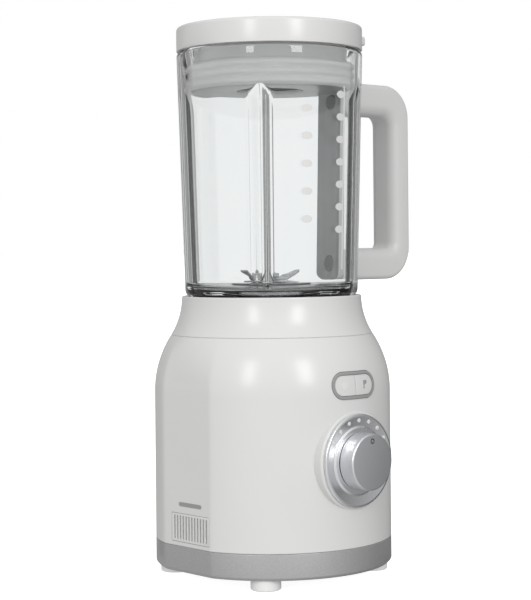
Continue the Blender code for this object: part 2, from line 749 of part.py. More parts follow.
def make_couplings(rotor, blades):
    post = (COUPLING_TEETH, 9.0, 13.0)
    rings = [
        round_toothed(SHAFT_BORE, *post, SHAFT_TOP + GAP),
        round_toothed(SHAFT_BORE, *post, 190.0 * MM),
        round_toothed(15.0 * MM, *post, 190.0 * MM),
        round_toothed(15.0 * MM, *post, 197.0 * MM),
        toothed(11.0 * MM, 8.0 * MM, *post, 197.0 * MM),
        toothed(11.0 * MM, 8.0 * MM, *post, 203.2 * MM),
    ]
    skinned("drive_coupling", rings, "black_plastic", rotor, closed=False)
    socket = (COUPLING_TEETH, 12.0, 16.0)
    rings = [
        round_toothed(SHAFT_BORE, *socket, 203.5 * MM),
        round_toothed(SHAFT_BORE, *socket, 207.5 * MM),
        round_toothed(15.5 * MM, *socket, 207.5 * MM),
        round_toothed(15.5 * MM, *socket, 197.8 * MM),
        toothed(11.5 * MM, 8.5 * MM, *socket, 197.8 * MM),
        toothed(11.5 * MM, 8.5 * MM, *socket, 203.5 * MM),
    ]
    skinned("driven_coupling", rings, "black_plastic", blades)


def make_electrics(base):
    low, high = (-35 * MM, 60 * MM, 70 * MM), (35 * MM, 61.6 * MM, 120 * MM)
    power = block("power_board", low, high, "board_green", base)
    for name, low, high in (
        ("relay", (-28, 48, 95), (-10, 61, 115)),
        ("capacitor", (2, 50, 98), (12, 61, 112)),
        ("terminal", (-20, 52, 73), (20, 61, 81)),
    ):
        corners = [tuple(value * MM for value in corner) for corner in (low, high)]
        combine(power, "UNION", block(name, *corners, "board_green", base))
    low, high = (-9 * MM, 54 * MM, 176 * MM), (9 * MM, 65 * MM, 190 * MM)
    switch = block("interlock_switch", low, high, "black_plastic", base)
    plunger = turned("plunger", disc(2.5 * MM, 185.0 * MM, DECK_TOP - GAP), "black_plastic", base, SMALL)
    plunger.location.y = 60.0 * MM
    combine(switch, "UNION", plunger)


def jar_radius(height):
    """Outer radius of the jar's straight, slightly flared wall."""
    share = (height - JAR_BOTTOM - JAR_CORNER) / (JAR_TOP - JAR_BOTTOM - JAR_CORNER)
    return JAR_FOOT_RADIUS + share * (JAR_RIM_RADIUS - JAR_FOOT_RADIUS)


def spout(turn, height):
    """How far the rim is drawn out into the pouring lip, opposite the handle."""
    if height <= SPOUT_START:
        return 0.0
    away = math.remainder(turn - math.pi, 2 * math.pi) / SPOUT_SPREAD
    rise = (height - SPOUT_START) / (JAR_TOP - SPOUT_START)
    return SPOUT_REACH * rise**2 * math.exp(-(away**2))


def rib(turn, height):
    """How far a rib stands in from the wall. The ribs are evenly spaced but for a wider gap at the handle."""
    middles = [math.pi + RIB_SPACING * (i - (RIB_COUNT - 1) / 2) for i in range(RIB_COUNT)]
    away = min(abs(math.remainder(turn - middle, 2 * math.pi)) for middle in middles) / RIB_HALF_ANGLE
    fade = min(1.0, max(0.0, (RIB_END - height) / RIB_FADE))
    return RIB_DEPTH * fade * max(0.0, 1.0 - away)


def jar_outer(radius, height):
    return polar_ring(lambda turn: radius + spout(turn, height), height, JAR_SIDES, JAR_TURN)


def jar_inner(radius, height):
    def wall(turn):
        return radius + spout(turn, height) - rib(turn, height)

    return polar_ring(wall, height, JAR_SIDES, JAR_TURN)


def make_jar(jar):
    foot = JAR_FOOT_RADIUS - JAR_CORNER
    rings = [circle(JAR_HOLE, JAR_BOTTOM, JAR_SIDES, JAR_TURN)]
    for i in range(4):
        turn = math.pi / 2 * i / 3
        radius = foot + JAR_CORNER * math.sin(turn)
        rings.append(circle(radius, JAR_BOTTOM + JAR_CORNER * (1 - math.cos(turn)), JAR_SIDES, JAR_TURN))
    lip = (SPOUT_START, SPOUT_START + 9 * MM, JAR_TOP)
    rings += [jar_outer(jar_radius(height), height) for height in lip]
    inside = [JAR_TOP, SPOUT_START + 9 * MM, SPOUT_START, RIB_END, RIB_END - RIB_FADE, JAR_FLOOR + 6 * MM]
    rings += [jar_inner(jar_radius(height) - GLASS, height) for height in inside]
    floor_edge = jar_radius(JAR_FLOOR) - GLASS
    rings += [
        jar_inner(floor_edge - 2 * MM, JAR_FLOOR + 2 * MM),
        jar_inner(floor_edge - 7 * MM, JAR_FLOOR),
        circle(JAR_HOLE, JAR_FLOOR, JAR_SIDES, JAR_TURN),
    ]
    skinned("glass_jar", rings, "clear_glass", jar)


def make_handle(jar):
    side = empty("handle_side", (0, 0, 0), jar, (math.pi / 2, 0.0, 0.0))
    clear = 0.4 * MM
    outline = [
        (jar_radius(SPINE_BOTTOM) + clear, SPINE_BOTTOM),
        (SPINE_OUTER, SPINE_BOTTOM),
        (SPINE_OUTER, SPINE_TOP),
        (jar_radius(SPINE_TOP) + clear, SPINE_TOP),
    ]
    spine = extruded("handle_spine", outline, -SPINE_HALF_WIDTH, SPINE_HALF_WIDTH, "grey_plastic", side)
    root = SPINE_OUTER + GAP
    corners = [
        (root, HANDLE_BOTTOM, 0.0),
        (HANDLE_OUTER, HANDLE_BOTTOM, 26.0 * MM),
        (HANDLE_OUTER, HANDLE_TOP, 26.0 * MM),
        (root, HANDLE_TOP, 0.0),
        (root, GRIP_TOP, 0.0),
        (HANDLE_INNER, GRIP_TOP, 8.0 * MM),
        (HANDLE_INNER, GRIP_BOTTOM, 5.0 * MM),
        (root, GRIP_BOTTOM, 0.0),
    ]
    outline = rounded_outline(corners)
    handle = extruded("jar_handle", outline, -HANDLE_HALF_WIDTH, HANDLE_HALF_WIDTH, "white_gloss", side)
    bevelled(handle, 4.0 * MM, 2, 60.0)
    for name, height in SCREW_HEIGHTS.items():
        outward = empty(f"screw_axis_{name}", (0, 0, height), jar, (0.0, math.pi / 2, 0.0))
        face = jar_radius(height) + clear
        outline = [
            (0.0, face + 0.5 * MM),
            (SCREW_HEAD_RADIUS, face + 0.5 * MM),
            (SCREW_HEAD_RADIUS, face + 2.6 * MM),
            (2.0 * MM, face + 2.6 * MM),
            (2.0 * MM, 92.0 * MM),
            (0.0, 92.0 * MM),
        ]
        turned(f"handle_screw_{name}", outline, "black_plastic", outward, SMALL)
        pocket = disc(SCREW_HEAD_RADIUS + 0.5 * MM, 60.0 * MM, face + 2.9 * MM)
        seat = turned(f"seat_{name}", pocket, "grey_plastic", outward, SMALL)
        hole = turned(f"hole_{name}", disc(2.5 * MM, 60.0 * MM, 92.5 * MM), "grey_plastic", outward, SMALL)
        combine(spine, "DIFFERENCE", seat, hole)
        combine(handle, "DIFFERENCE", hole)


def make_blade_unit(jar, blades):
    collar = [
        (25.8 * MM, 207.7 * MM),
        (25.8 * MM, JAR_BOTTOM - GAP),
        (61.5 * MM, JAR_BOTTOM - GAP),
        (62.5 * MM, 209.7 * MM),
        (62.5 * MM, DECK_TOP + GAP),
        (58.5 * MM, DECK_TOP + GAP),
        (58.5 * MM, 207.7 * MM),
    ]
    turned("jar_collar", collar, "white_gloss", jar, LARGE)
    turned("blade_seal", sleeve(26.3 * MM, 30.8 * MM, JAR_FLOOR + GAP, 218.8 * MM), "black_plastic", jar)
    housing = [
        (7.3 * MM, 208.0 * MM),
        (7.3 * MM, 222.5 * MM),
        (11.0 * MM, 222.5 * MM),
        (13.0 * MM, 221.1 * MM),
        (31.0 * MM, 221.1 * MM),
        (31.0 * MM, 219.1 * MM),
        (25.4 * MM, 219.1 * MM),
        (25.4 * MM, 206.0 * MM),
        (22.5 * MM, 206.0 * MM),
        (22.5 * MM, 217.0 * MM),
        (11.0 * MM, 217.0 * MM),
        (11.0 * MM, 208.0 * MM),
    ]
    turned("blade_housing", housing, "bright_steel", jar)
    turned("blade_bush", sleeve(4.1 * MM, 7.0 * MM, 208.5 * MM, 222.2 * MM), "brass", jar)
    shaft = [
        (0.0, 204.0 * MM),
        (SHAFT_RADIUS, 204.0 * MM),
        (SHAFT_RADIUS, 222.8 * MM),
        (3.0 * MM, 222.8 * MM),
        (3.0 * MM, 231.5 * MM),
        (0.0, 231.5 * MM),
    ]
    turned("blade_shaft", shaft, "bright_steel", blades)
    make_blade("lower_blade", 223.1 * MM, -0.9 * MM, math.radians(90.0), blades)
    make_blade("upper_blade", 224.8 * MM, 7.5 * MM, 0.0, blades)
    low, high = 226.5 * MM, 231.0 * MM
    nut = [circle(3.3 * MM, low, SMALL), polar_ring(hexagon, low, SMALL)]
    nut += [polar_ring(hexagon, high, SMALL), circle(3.3 * MM, high, SMALL)]
    skinned("blade_nut", nut, "bright_steel", blades)


def hexagon(turn):
    """The nut's outline as a radius: flats of 11 mm across."""
    return NUT_HALF_WIDTH / math.cos(math.remainder(turn - math.pi / 6, math.pi / 3))


def make_blade(name, height, lift, turn, blades):
    """A pressed two-armed blade, its arms bent by a lift between the hub and the tips."""
    stations = [(-1.0, 3.0), (-0.62, 6.0), (-0.34, 8.0), (0.34, 8.0), (0.62, 6.0), (1.0, 3.0)]
    rings = []
    for share, half_width in stations:
        bend = lift * max(0.0, (abs(share) - 0.34) / 0.66)
        low = height + bend
        x = share * BLADE_REACH
        rings.append([
            (x, -half_width * MM, low),
            (x, half_width * MM, low),
            (x, half_width * MM, low + BLADE_THICKNESS),
            (x, -half_width * MM, low + BLADE_THICKNESS),
        ])
    blade = skinned(name, rings, "bright_steel", blades, closed=False)
    blade.rotation_euler.z = turn
    bore = disc(3.3 * MM, height - 5 * MM, height + 6 * MM)
    hole = turned(f"{name}_hole", bore, "bright_steel", blades, SMALL)
    combine(blade, "DIFFERENCE", hole)


def make_lid(lid, cap):
    cover = [
        (LID_RADIUS, LID_BOTTOM),
        (LID_RADIUS, LID_TOP - 2.5 * MM),
        (LID_RADIUS - 0.8 * MM, LID_TOP - 0.8 * MM),
        (LID_RADIUS - 2.5 * MM, LID_TOP),
        (CAP_FLANGE + 0.4 * MM, LID_TOP),
        (CAP_FLANGE + 0.4 * MM, 416.6 * MM),
        (CAP_RADIUS + 0.6 * MM, 416.6 * MM),
        (CAP_RADIUS + 0.6 * MM, 413.0 * MM),
        (34.0 * MM, 413.0 * MM),
        (34.0 * MM, 416.5 * MM),
        (LID_RADIUS - WALL, 416.5 * MM),
        (LID_RADIUS - WALL, LID_BOTTOM),
    ]
    lid_cover = turned("lid_cover", cover, "white_gloss", lid, LARGE)
    low, high = (70 * MM, -10 * MM, 412.5 * MM), (TAB_REACH, 10 * MM, LID_TOP)
    tab = block("thumb_tab", low, high, "white_gloss", lid)
    bevelled(tab, 2.0 * MM, 2)
    combine(lid_cover, "UNION", tab)
    plug = [
        (CAP_RADIUS + 0.6 * MM, PLUG_BOTTOM),
        (PLUG_RADIUS, PLUG_BOTTOM),
        (PLUG_RADIUS, 416.2 * MM),
        (PLUG_RADIUS - 2.6 * MM, 416.2 * MM),
        (PLUG_RADIUS - 2.6 * MM, PLUG_BOTTOM + 2.5 * MM),
        (CAP_RADIUS + 0.6 * MM, PLUG_BOTTOM + 2.5 * MM),
    ]
    turned("lid_plug", plug, "white_gloss", lid, LARGE)
    make_gasket(lid)
    measure = [
        (0.0, LID_TOP),
        (CAP_FLANGE, LID_TOP),
        (CAP_FLANGE, 416.9 * MM),
        (CAP_RADIUS, 416.9 * MM),
        (CAP_RADIUS, CAP_BOTTOM),
        (CAP_RADIUS - 2.2 * MM, CAP_BOTTOM),
        (CAP_RADIUS - 2.2 * MM, 416.9 * MM),
        (0.0, 416.9 * MM),
    ]
    turned("measuring_cap", measure, "white_gloss", cap, 32)


def make_gasket(lid):
    """A sleeve with three sealing ribs round its outside."""
    outline = [(PLUG_RADIUS + GAP, PLUG_BOTTOM)]
    pitch = (GASKET_TOP - PLUG_BOTTOM) / 3
    for i in range(3):
        low = PLUG_BOTTOM + i * pitch
        outline += [(GASKET_RADIUS, low + 0.25 * pitch), (GASKET_RADIUS, low + 0.6 * pitch)]
        outline.append((GASKET_RADIUS - 2.0 * MM, low + 0.95 * pitch))
    outline.append((PLUG_RADIUS + GAP, GASKET_TOP))
    turned("lid_gasket", outline, "white_silicone", lid, LARGE)


def main():
    clear_scene()
    base = empty("drive_axis", (AXIS_X, AXIS_Y, 0.0))
    front = empty("front_axis", (0.0, 0.0, KNOB_HEIGHT), base, (math.pi / 2, 0.0, 0.0))
    rear = empty("rear_axis", (0.0, 0.0, GLAND_HEIGHT), base, (-math.pi / 2, 0.0, 0.0))
    rotor = empty("rotor_axis", (0.0, 0.0, 0.0), base)
    jar = empty("jar_axis", (0.0, 0.0, 0.0), base)
    blades = empty("blade_axis", (0.0, 0.0, 0.0), jar)
    lid = empty("lid_axis", (0.0, 0.0, 0.0), jar)
    cap = empty("cap_axis", (0.0, 0.0, 0.0), lid)
    knob = empty("knob_axis", (0.0, 0.0, 0.0), front)
    lift = PILL_HEIGHT - KNOB_HEIGHT
    buttons = {
        "ice_button": empty("ice_axis", (-9.0 * MM, lift, 0.0), front),
        "pulse_button": empty("pulse_axis", (9.0 * MM, lift, 0.0), front),
    }
    make_housing(base, front, rear)
    make_top_collar(base)
    make_foot_parts(base)
    for side in ("left", "right"):
        make_grille(side, base)
    make_controls(base, front, knob, buttons)
    make_rear_inlet(rear)
    make_motor(base, rotor)
    make_couplings(rotor, blades)
    make_electrics(base)
    make_jar(jar)
    make_handle(jar)
    make_blade_unit(jar, blades)
    make_lid(lid, cap)


main()
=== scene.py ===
"""Looks of the countertop blender: shells, glass, controls and finishes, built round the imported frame.

Sizes are in metres. The front faces -Y and the handle points to +X. Every piece is shaped round the
drive axis, standing at the origin, and is then moved to where the frame has that axis.
"""

import logging
import math
from collections.abc import Callable, Iterator
from contextlib import contextmanager
from dataclasses import dataclass, field
from enum import Enum

import bmesh
import bpy
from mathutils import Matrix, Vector


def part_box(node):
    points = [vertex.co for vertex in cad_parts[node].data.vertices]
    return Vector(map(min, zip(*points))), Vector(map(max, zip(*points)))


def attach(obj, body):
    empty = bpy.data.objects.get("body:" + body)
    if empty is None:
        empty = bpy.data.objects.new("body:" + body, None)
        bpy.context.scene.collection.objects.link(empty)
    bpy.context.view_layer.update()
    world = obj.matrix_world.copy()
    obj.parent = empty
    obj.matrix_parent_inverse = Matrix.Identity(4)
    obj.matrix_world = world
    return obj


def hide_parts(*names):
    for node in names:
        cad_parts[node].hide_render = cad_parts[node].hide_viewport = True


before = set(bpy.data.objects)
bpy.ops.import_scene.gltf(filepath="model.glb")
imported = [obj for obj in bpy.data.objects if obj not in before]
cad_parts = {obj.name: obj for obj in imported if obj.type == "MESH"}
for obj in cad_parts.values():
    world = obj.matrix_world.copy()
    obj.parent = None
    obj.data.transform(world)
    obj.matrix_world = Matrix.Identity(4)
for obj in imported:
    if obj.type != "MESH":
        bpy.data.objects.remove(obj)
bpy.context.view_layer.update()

MM = 0.001
TINY = 0.001 * MM
LOG = logging.getLogger("countertop_blender")

Point = tuple[float, float]
Corner = tuple[float, float, float]
Colour = tuple[float, float, float, float]
Piece = bpy.types.Object
Tree = bpy.types.NodeTree
Node = bpy.types.Node
Socket = bpy.types.NodeSocket


class Element(Enum):
    """What a selection in edit mode is made of."""

    VERTEX = "VERT"
    EDGE = "EDGE"
    FACE = "FACE"


class Joining(Enum):
    """What a tool does to the piece it meets."""

    CUT = "DIFFERENCE"
    ADD = "UNION"
    CROP = "INTERSECT"


def drive_axis() -> Vector:
    """Where the frame has the drive axis, at the height of the feet."""
    low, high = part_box("motor_shaft")
    return Vector(((low[0] + high[0]) / 2, (low[1] + high[1]) / 2, 0.0))


AXIS = drive_axis()


# ---------------------------------------------------------------- shaping


def choose(*pieces: Piece) -> None:
    """Selects only these objects, and makes the first one active."""
    bpy.ops.object.select_all(action="DESELECT")
    for piece in pieces:
        piece.select_set(True)
    bpy.context.view_layer.objects.active = pieces[0]


@contextmanager
def editing(piece: Piece) -> Iterator[None]:
    """Opens one piece in edit mode with nothing selected, and closes it again.

    Args:
        piece: The object to edit.
    """
    choose(piece)
    bpy.ops.object.mode_set(mode="EDIT")
    bpy.ops.mesh.select_mode(type="VERT")
    bpy.ops.mesh.select_all(action="DESELECT")
    yield
    bpy.ops.object.mode_set(mode="OBJECT")


def pick(piece: Piece, kind: Element, test: Callable[[list[Vector]], bool]) -> int:
    """Selects, in edit mode, the elements whose corners pass a test.

    Args:
        piece: The object in edit mode.
        kind: Which elements are looked at.
        test: Takes the places of an element's vertices.

    Returns:
        How many were selected.
    """
    bpy.ops.mesh.select_mode(type=kind.value)
    bpy.ops.mesh.select_all(action="DESELECT")
    shape = bmesh.from_edit_mesh(piece.data)
    if kind is Element.VERTEX:
        found = [vertex for vertex in shape.verts if test([vertex.co])]
    else:
        elements = shape.edges if kind is Element.EDGE else shape.faces
        found = [element for element in elements if test([vertex.co for vertex in element.verts])]
    for element in found:
        element.select_set(True)
    shape.select_flush_mode()
    bmesh.update_edit_mesh(piece.data)
    return len(found)


def tidy_normals() -> None:
    """Merges doubles and points every face outwards, in edit mode."""
    bpy.ops.mesh.select_mode(type="VERT")
    bpy.ops.mesh.select_all(action="SELECT")
    bpy.ops.mesh.remove_doubles(threshold=TINY)
    bpy.ops.mesh.normals_make_consistent(inside=False)


def aim(
    piece: Piece, turn: tuple[float, float, float] = (0.0, 0.0, 0.0),
    move: tuple[float, float, float] = (0.0, 0.0, 0.0),
) -> Piece:
    """Turns a piece about the origin and moves it, and bakes both into its mesh.

    Args:
        piece: The object, whose origin is the world's.
        turn: Angles about X, Y and Z, in degrees.
        move: How far it goes after the turn.

    Returns:
        The same object.
    """
    choose(piece)
    piece.rotation_euler = [math.radians(angle) for angle in turn]
    piece.location = move
    bpy.ops.object.transform_apply(location=True, rotation=True, scale=True)
    return piece


def trace(name: str, outline: list[Point], depth: float, closed: bool) -> Piece:
    """Draws an outline in an upright plane by extruding one vertex from point to point.

    Args:
        name: Name of the object.
        outline: Points as (X, Z).
        depth: The plane's Y.
        closed: Whether the last point joins the first.

    Returns:
        The object, made of edges.
    """
    bpy.ops.object.select_all(action="DESELECT")
    bpy.ops.mesh.primitive_plane_add(size=MM, location=(outline[0][0], depth, outline[0][1]))
    piece = bpy.context.active_object
    piece.name = name
    piece.data.name = name
    bpy.ops.object.transform_apply(location=True, rotation=True, scale=True)
    following = outline[1:] + outline[:1] if closed else outline[1:]
    with editing(piece):
        bpy.ops.mesh.select_all(action="SELECT")
        bpy.ops.mesh.merge(type="CENTER")
        for (x, z), (next_x, next_z) in zip(outline, following):
            bpy.ops.mesh.extrude_vertices_move(
                TRANSFORM_OT_translate={"value": (next_x - x, 0.0, next_z - z)}
            )
        bpy.ops.mesh.select_all(action="SELECT")
        bpy.ops.mesh.remove_doubles(threshold=TINY)
    return piece


def lathe(name: str, outline: list[Point], sides: int) -> Piece:
    """Spins an outline of (radius, height) points round the drive axis.

    Args:
        name: Name of the object.
        outline: Ends on the axis make it solid there; any other outline is closed.
        sides: Steps of the full turn.

    Returns:
        The object, closed and facing outwards.
    """
    piece = trace(name, outline, 0.0, closed=outline[0][0] > TINY)
    with editing(piece):
        bpy.ops.mesh.select_all(action="SELECT")
        bpy.ops.mesh.spin(
            steps=sides, angle=math.tau, center=(0, 0, 0), axis=(0, 0, 1), use_auto_merge=True
        )
        tidy_normals()
    return piece


def rod(name: str, radius: float, low: float, high: float, sides: int) -> Piece:
    """A plain cylinder on the drive axis, between two heights."""
    return lathe(name, [(0.0, low), (radius, low), (radius, high), (0.0, high)], sides)


def slab(name: str, outline: list[Point], near: float, far: float) -> Piece:
    """Fills an upright outline of (X, Z) points and raises it from one Y to another.

    Args:
        name: Name of the object.
        outline: A closed outline.
        near: Y of its first face.
        far: Y of its last face.

    Returns:
        The object, closed and facing outwards.
    """
    piece = trace(name, outline, near, closed=True)
    with editing(piece):
        bpy.ops.mesh.select_all(action="SELECT")
        bpy.ops.mesh.edge_face_add()
        bpy.ops.mesh.extrude_region_move(TRANSFORM_OT_translate={"value": (0.0, far - near, 0.0)})
        tidy_normals()
    return piece


def rounded(corners: list[Corner], steps: int = 5) -> list[Point]:
    """Rounds the corners of an outline, each by its own radius.

    Args:
        corners: (x, y, radius) each; a radius of 0 keeps the corner.
        steps: Segments of each arc.

    Returns:
        The outline's points.
    """
    points: list[Point] = []
    for i, (x, y, radius) in enumerate(corners):
        if radius == 0.0:
            points.append((x, y))
            continue
        here = Vector((x, y))
        into = (Vector(corners[i - 1][:2]) - here).normalized()
        out = (Vector(corners[(i + 1) % len(corners)][:2]) - here).normalized()
        half = into.angle(out) / 2
        centre = here + (into + out).normalized() * (radius / math.sin(half))
        start = here + into * (radius / math.tan(half)) - centre
        end = here + out * (radius / math.tan(half)) - centre
        swing = start.angle(end)
        for step in range(steps + 1):
            share = step / steps
            spot = start * math.sin((1 - share) * swing) + end * math.sin(share * swing)
            points.append(tuple(centre + spot / math.sin(swing)))
    return points


def arc(centre: Point, radius: float, start: float, end: float, steps: int) -> list[Point]:
    """Points of an arc between two angles in degrees, both ends included."""
    turns = [math.radians(start + (end - start) * i / steps) for i in range(steps + 1)]
    return [(centre[0] + radius * math.cos(turn), centre[1] + radius * math.sin(turn)) for turn in turns]


def pill(half_length: float, half_width: float, centre: Point = (0.0, 0.0), steps: int = 16) -> list[Point]:
    """Draws a pill-shaped outline, its long way along X.

    Args:
        half_length: Half its length, round ends included.
        half_width: Half its width.
        centre: Its middle.
        steps: Segments of each end.

    Returns:
        The outline's points.
    """
    straight = half_length - half_width
    right = arc((centre[0] + straight, centre[1]), half_width, -90.0, 90.0, steps)
    left = arc((centre[0] - straight, centre[1]), half_width, 90.0, 270.0, steps)
    return right + left


def meet(piece: Piece, tool: Piece, how: Joining, keep: bool = False) -> Piece:
    """Cuts, joins or crops a piece with a tool, and removes the tool.

    Args:
        piece: The object that is changed.
        tool: The object that changes it.
        how: What the tool does.
        keep: Whether the tool stays for another use.

    Returns:
        The changed object.
    """
    choose(piece)
    modifier = piece.modifiers.new(tool.name, "BOOLEAN")
    modifier.operation = how.value
    modifier.solver = "EXACT"
    modifier.object = tool
    bpy.ops.object.modifier_apply(modifier=modifier.name)
    if not keep:
        bpy.data.objects.remove(tool, do_unlink=True)
    return piece


def ease(piece: Piece, width: float, segments: int = 3, angle: float = 40.0) -> Piece:
    """Rounds the edges of a piece that turn by more than an angle.

    Args:
        piece: The object.
        width: How far the rounding goes from the edge.
        segments: Its steps.
        angle: The least turn that is rounded, in degrees.

    Returns:
        The same object.
    """
    choose(piece)
    bevel = piece.modifiers.new("eased_edges", "BEVEL")
    bevel.width = width
    bevel.segments = segments
    bevel.limit_method = "ANGLE"
    bevel.angle_limit = math.radians(angle)
    bpy.ops.object.modifier_apply(modifier=bevel.name)
    return piece


def twin(piece: Piece, name: str, turn: float = 0.0, move: tuple[float, float, float] = (0, 0, 0)) -> Piece:
    """Copies a piece with its own mesh.

    Args:
        piece: The pattern.
        name: Name of the copy.
        turn: How far it is turned about the drive axis, in degrees.
        move: How far it goes after the turn.

    Returns:
        The copy.
    """
    copy = piece.copy()
    copy.data = piece.data.copy()
    copy.name = name
    copy.data.name = name
    bpy.context.scene.collection.objects.link(copy)
    return aim(copy, (0.0, 0.0, turn), move)


# ---------------------------------------------------------------- finishes


def linear(code: str) -> Colour:
    """Turns an sRGB hex code into a linear colour.

    Args:
        code: Such as "#D7D7D6".

    Returns:
        The colour with a full alpha.
    """
    parts = [int(code[i:i + 2], 16) / 255 for i in (1, 3, 5)]
    red, green, blue = [p / 12.92 if p <= 0.04045 else ((p + 0.055) / 1.055) ** 2.4 for p in parts]
    return (red, green, blue, 1.0)


def add_node(tree: Tree, kind: str, feeds: dict | None = None, **settings) -> Node:
    """Adds a node with its settings and links.

    Args:
        tree: Where it goes.
        kind: The node's type.
        feeds: What goes into its sockets, by name or number: other nodes' outputs, or values.
        settings: The node's own properties.

    Returns:
        The new node.
    """
    node = tree.nodes.new(kind)
    for key, value in settings.items():
        setattr(node, key, value)
    for socket, value in (feeds or {}).items():
        if isinstance(value, Socket):
            tree.links.new(value, node.inputs[socket])
        else:
            node.inputs[socket].default_value = value
    return node


@dataclass(frozen=True)
class Bench:
    """What a finish is laid on: a material's nodes, its shader and its coordinates."""

    tree: Tree
    shader: Node
    place: Socket

    def cloud(self, size: float, detail: float) -> Socket:
        """A soft pattern, from 0 to 1, with patches of a size and a number of finer layers."""
        return add_node(self.tree, "ShaderNodeTexNoise", {
            "Vector": self.place, "Scale": 1 / size, "Detail": detail,
        }).outputs[0]

    def cells(self, size: float, kind: str) -> Socket:
        """The distance from the middles of scattered cells of a size, measured in a way."""
        return add_node(self.tree, "ShaderNodeTexVoronoi", {
            "Vector": self.place, "Scale": 1 / size,
        }, distance=kind).outputs["Distance"]

    def mark(self, height: Socket, depth: float, strength: float = 1.0) -> None:
        """Raises a pattern on the shader's normal.

        Args:
            height: The pattern.
            depth: How deep it is.
            strength: How much of it shows.
        """
        bump = add_node(self.tree, "ShaderNodeBump", {
            "Height": height, "Distance": depth, "Strength": strength,
        })
        self.tree.links.new(bump.outputs["Normal"], self.shader.inputs["Normal"])


@dataclass(frozen=True)
class Finish:
    """A finish: its colour, a second colour that it drifts to, and its gloss."""

    name: str
    colour: str
    drift: str
    roughness: float
    metallic: float = 0.0
    ior: float | None = None
    drift_size: float = 40 * MM

    def make(self) -> bpy.types.Material:
        """The material, made the first time it is asked for."""
        if self.name in bpy.data.materials:
            return bpy.data.materials[self.name]
        material = bpy.data.materials.new(self.name)
        material.use_nodes = True
        tree = material.node_tree
        tree.nodes.clear()
        shader = add_node(tree, "ShaderNodeBsdfPrincipled", {
            "Metallic": self.metallic, "Roughness": self.roughness,
        })
        if self.ior is not None:
            shader.inputs["IOR"].default_value = self.ior
        self.paint(Bench(tree, shader, add_node(tree, "ShaderNodeTexCoord").outputs["Object"]))
        add_node(tree, "ShaderNodeOutputMaterial", {"Surface": shader.outputs["BSDF"]})
        return material

    def paint(self, bench: Bench) -> None:
        """Lays the drift between the two colours over the shader."""
        self.tint(bench, bench.cloud(self.drift_size, 2.0))

    def tint(self, bench: Bench, share: Socket) -> None:
        """Mixes the two colours by a pattern.

        Args:
            bench: The nodes it is laid on.
            share: How much of the second colour shows.
        """
        mix = add_node(bench.tree, "ShaderNodeMix", {
            0: share, 6: linear(self.colour), 7: linear(self.drift),
        }, data_type="RGBA")
        bench.tree.links.new(mix.outputs[2], bench.shader.inputs["Base Color"])


@dataclass(frozen=True)
class Moulded(Finish):
    """Injection-moulded plastic or rubber: a faint skin of the tool's texture over a slow drift in tone."""

    grain: float = 1.2 * MM
    depth: float = 0.02 * MM

    def paint(self, bench: Bench) -> None:
        """Adds the tool's texture to the drift in tone."""
        self.tint(bench, bench.cloud(self.drift_size, 3.0))
        bench.mark(bench.cloud(self.grain, 4.0), self.depth)


@dataclass(frozen=True)
class Flaked(Finish):
    """Silver lacquer: fine aluminium flakes under a clear coat."""

    flake: float = 0.9 * MM

    def paint(self, bench: Bench) -> None:
        """Scatters flakes that differ in tone and tilt.

        Args:
            bench: The nodes it is laid on.
        """
        flakes = bench.cells(self.flake, "EUCLIDEAN")
        self.tint(bench, flakes)
        bench.mark(flakes, 0.01 * MM, 0.4)
        bench.shader.inputs["Coat Weight"].default_value = 0.4
        bench.shader.inputs["Coat Roughness"].default_value = 0.12


@dataclass(frozen=True)
class Worked(Finish):
    """Metal with fine marks from turning, brushing or rolling: streaks along chosen directions."""

    streak: tuple[float, float, float] = (1 / MM, 1 / MM, 0.05 / MM)
    depth: float = 0.01 * MM

    def paint(self, bench: Bench) -> None:
        """Draws the streaks in tone, gloss and relief.

        Args:
            bench: The nodes it is laid on.
        """
        stretched = add_node(bench.tree, "ShaderNodeMapping", {"Vector": bench.place, "Scale": self.streak})
        marks = add_node(bench.tree, "ShaderNodeTexNoise", {
            "Vector": stretched.outputs[0], "Scale": 1.0, "Detail": 5.0,
        }).outputs[0]
        self.tint(bench, marks)
        gloss = add_node(bench.tree, "ShaderNodeMapRange", {
            "Value": marks, "From Min": 0.3, "From Max": 0.7,
            "To Min": self.roughness * 0.7, "To Max": self.roughness * 1.3,
        })
        bench.tree.links.new(gloss.outputs["Result"], bench.shader.inputs["Roughness"])
        bench.mark(marks, self.depth)


@dataclass(frozen=True)
class Turned(Finish):
    """Metal faced on a lathe: fine rings round an axis that runs from front to back."""

    centre: tuple[float, float, float] = (0.0, 0.0, 0.0)
    pitch: float = 0.9 * MM
    depth: float = 0.012 * MM

    def paint(self, bench: Bench) -> None:
        """Draws the rings by the distance from the axis.

        Args:
            bench: The nodes it is laid on.
        """
        shifted = add_node(bench.tree, "ShaderNodeMapping", {
            "Vector": bench.place, "Location": self.centre, "Scale": (1.0, 0.0, 1.0)
        })
        reach = add_node(bench.tree, "ShaderNodeVectorMath", {0: shifted.outputs[0]}, operation="LENGTH")
        rings = add_node(bench.tree, "ShaderNodeTexNoise", {
            "W": reach.outputs["Value"], "Scale": 1 / self.pitch, "Detail": 4.0
        }, noise_dimensions="1D")
        self.tint(bench, rings.outputs[0])
        bench.mark(rings.outputs[0], self.depth)


@dataclass(frozen=True)
class Banded(Finish):
    """Stacked sheets or wound wire: narrow bands across the drive axis."""

    pitch: float = 1.6 * MM
    direction: str = "Z"

    def paint(self, bench: Bench) -> None:
        """Draws one band to each sheet or wire.

        Args:
            bench: The nodes it is laid on.
        """
        # A wave's period is 2 pi over 20 times its scale.
        bands = add_node(bench.tree, "ShaderNodeTexWave", {
            "Vector": bench.place, "Scale": math.tau / (20 * self.pitch), "Distortion": 0.6, "Detail": 1.0
        }, bands_direction=self.direction)
        self.tint(bench, bands.outputs["Fac"])
        bench.mark(bands.outputs["Fac"], 0.15 * MM)


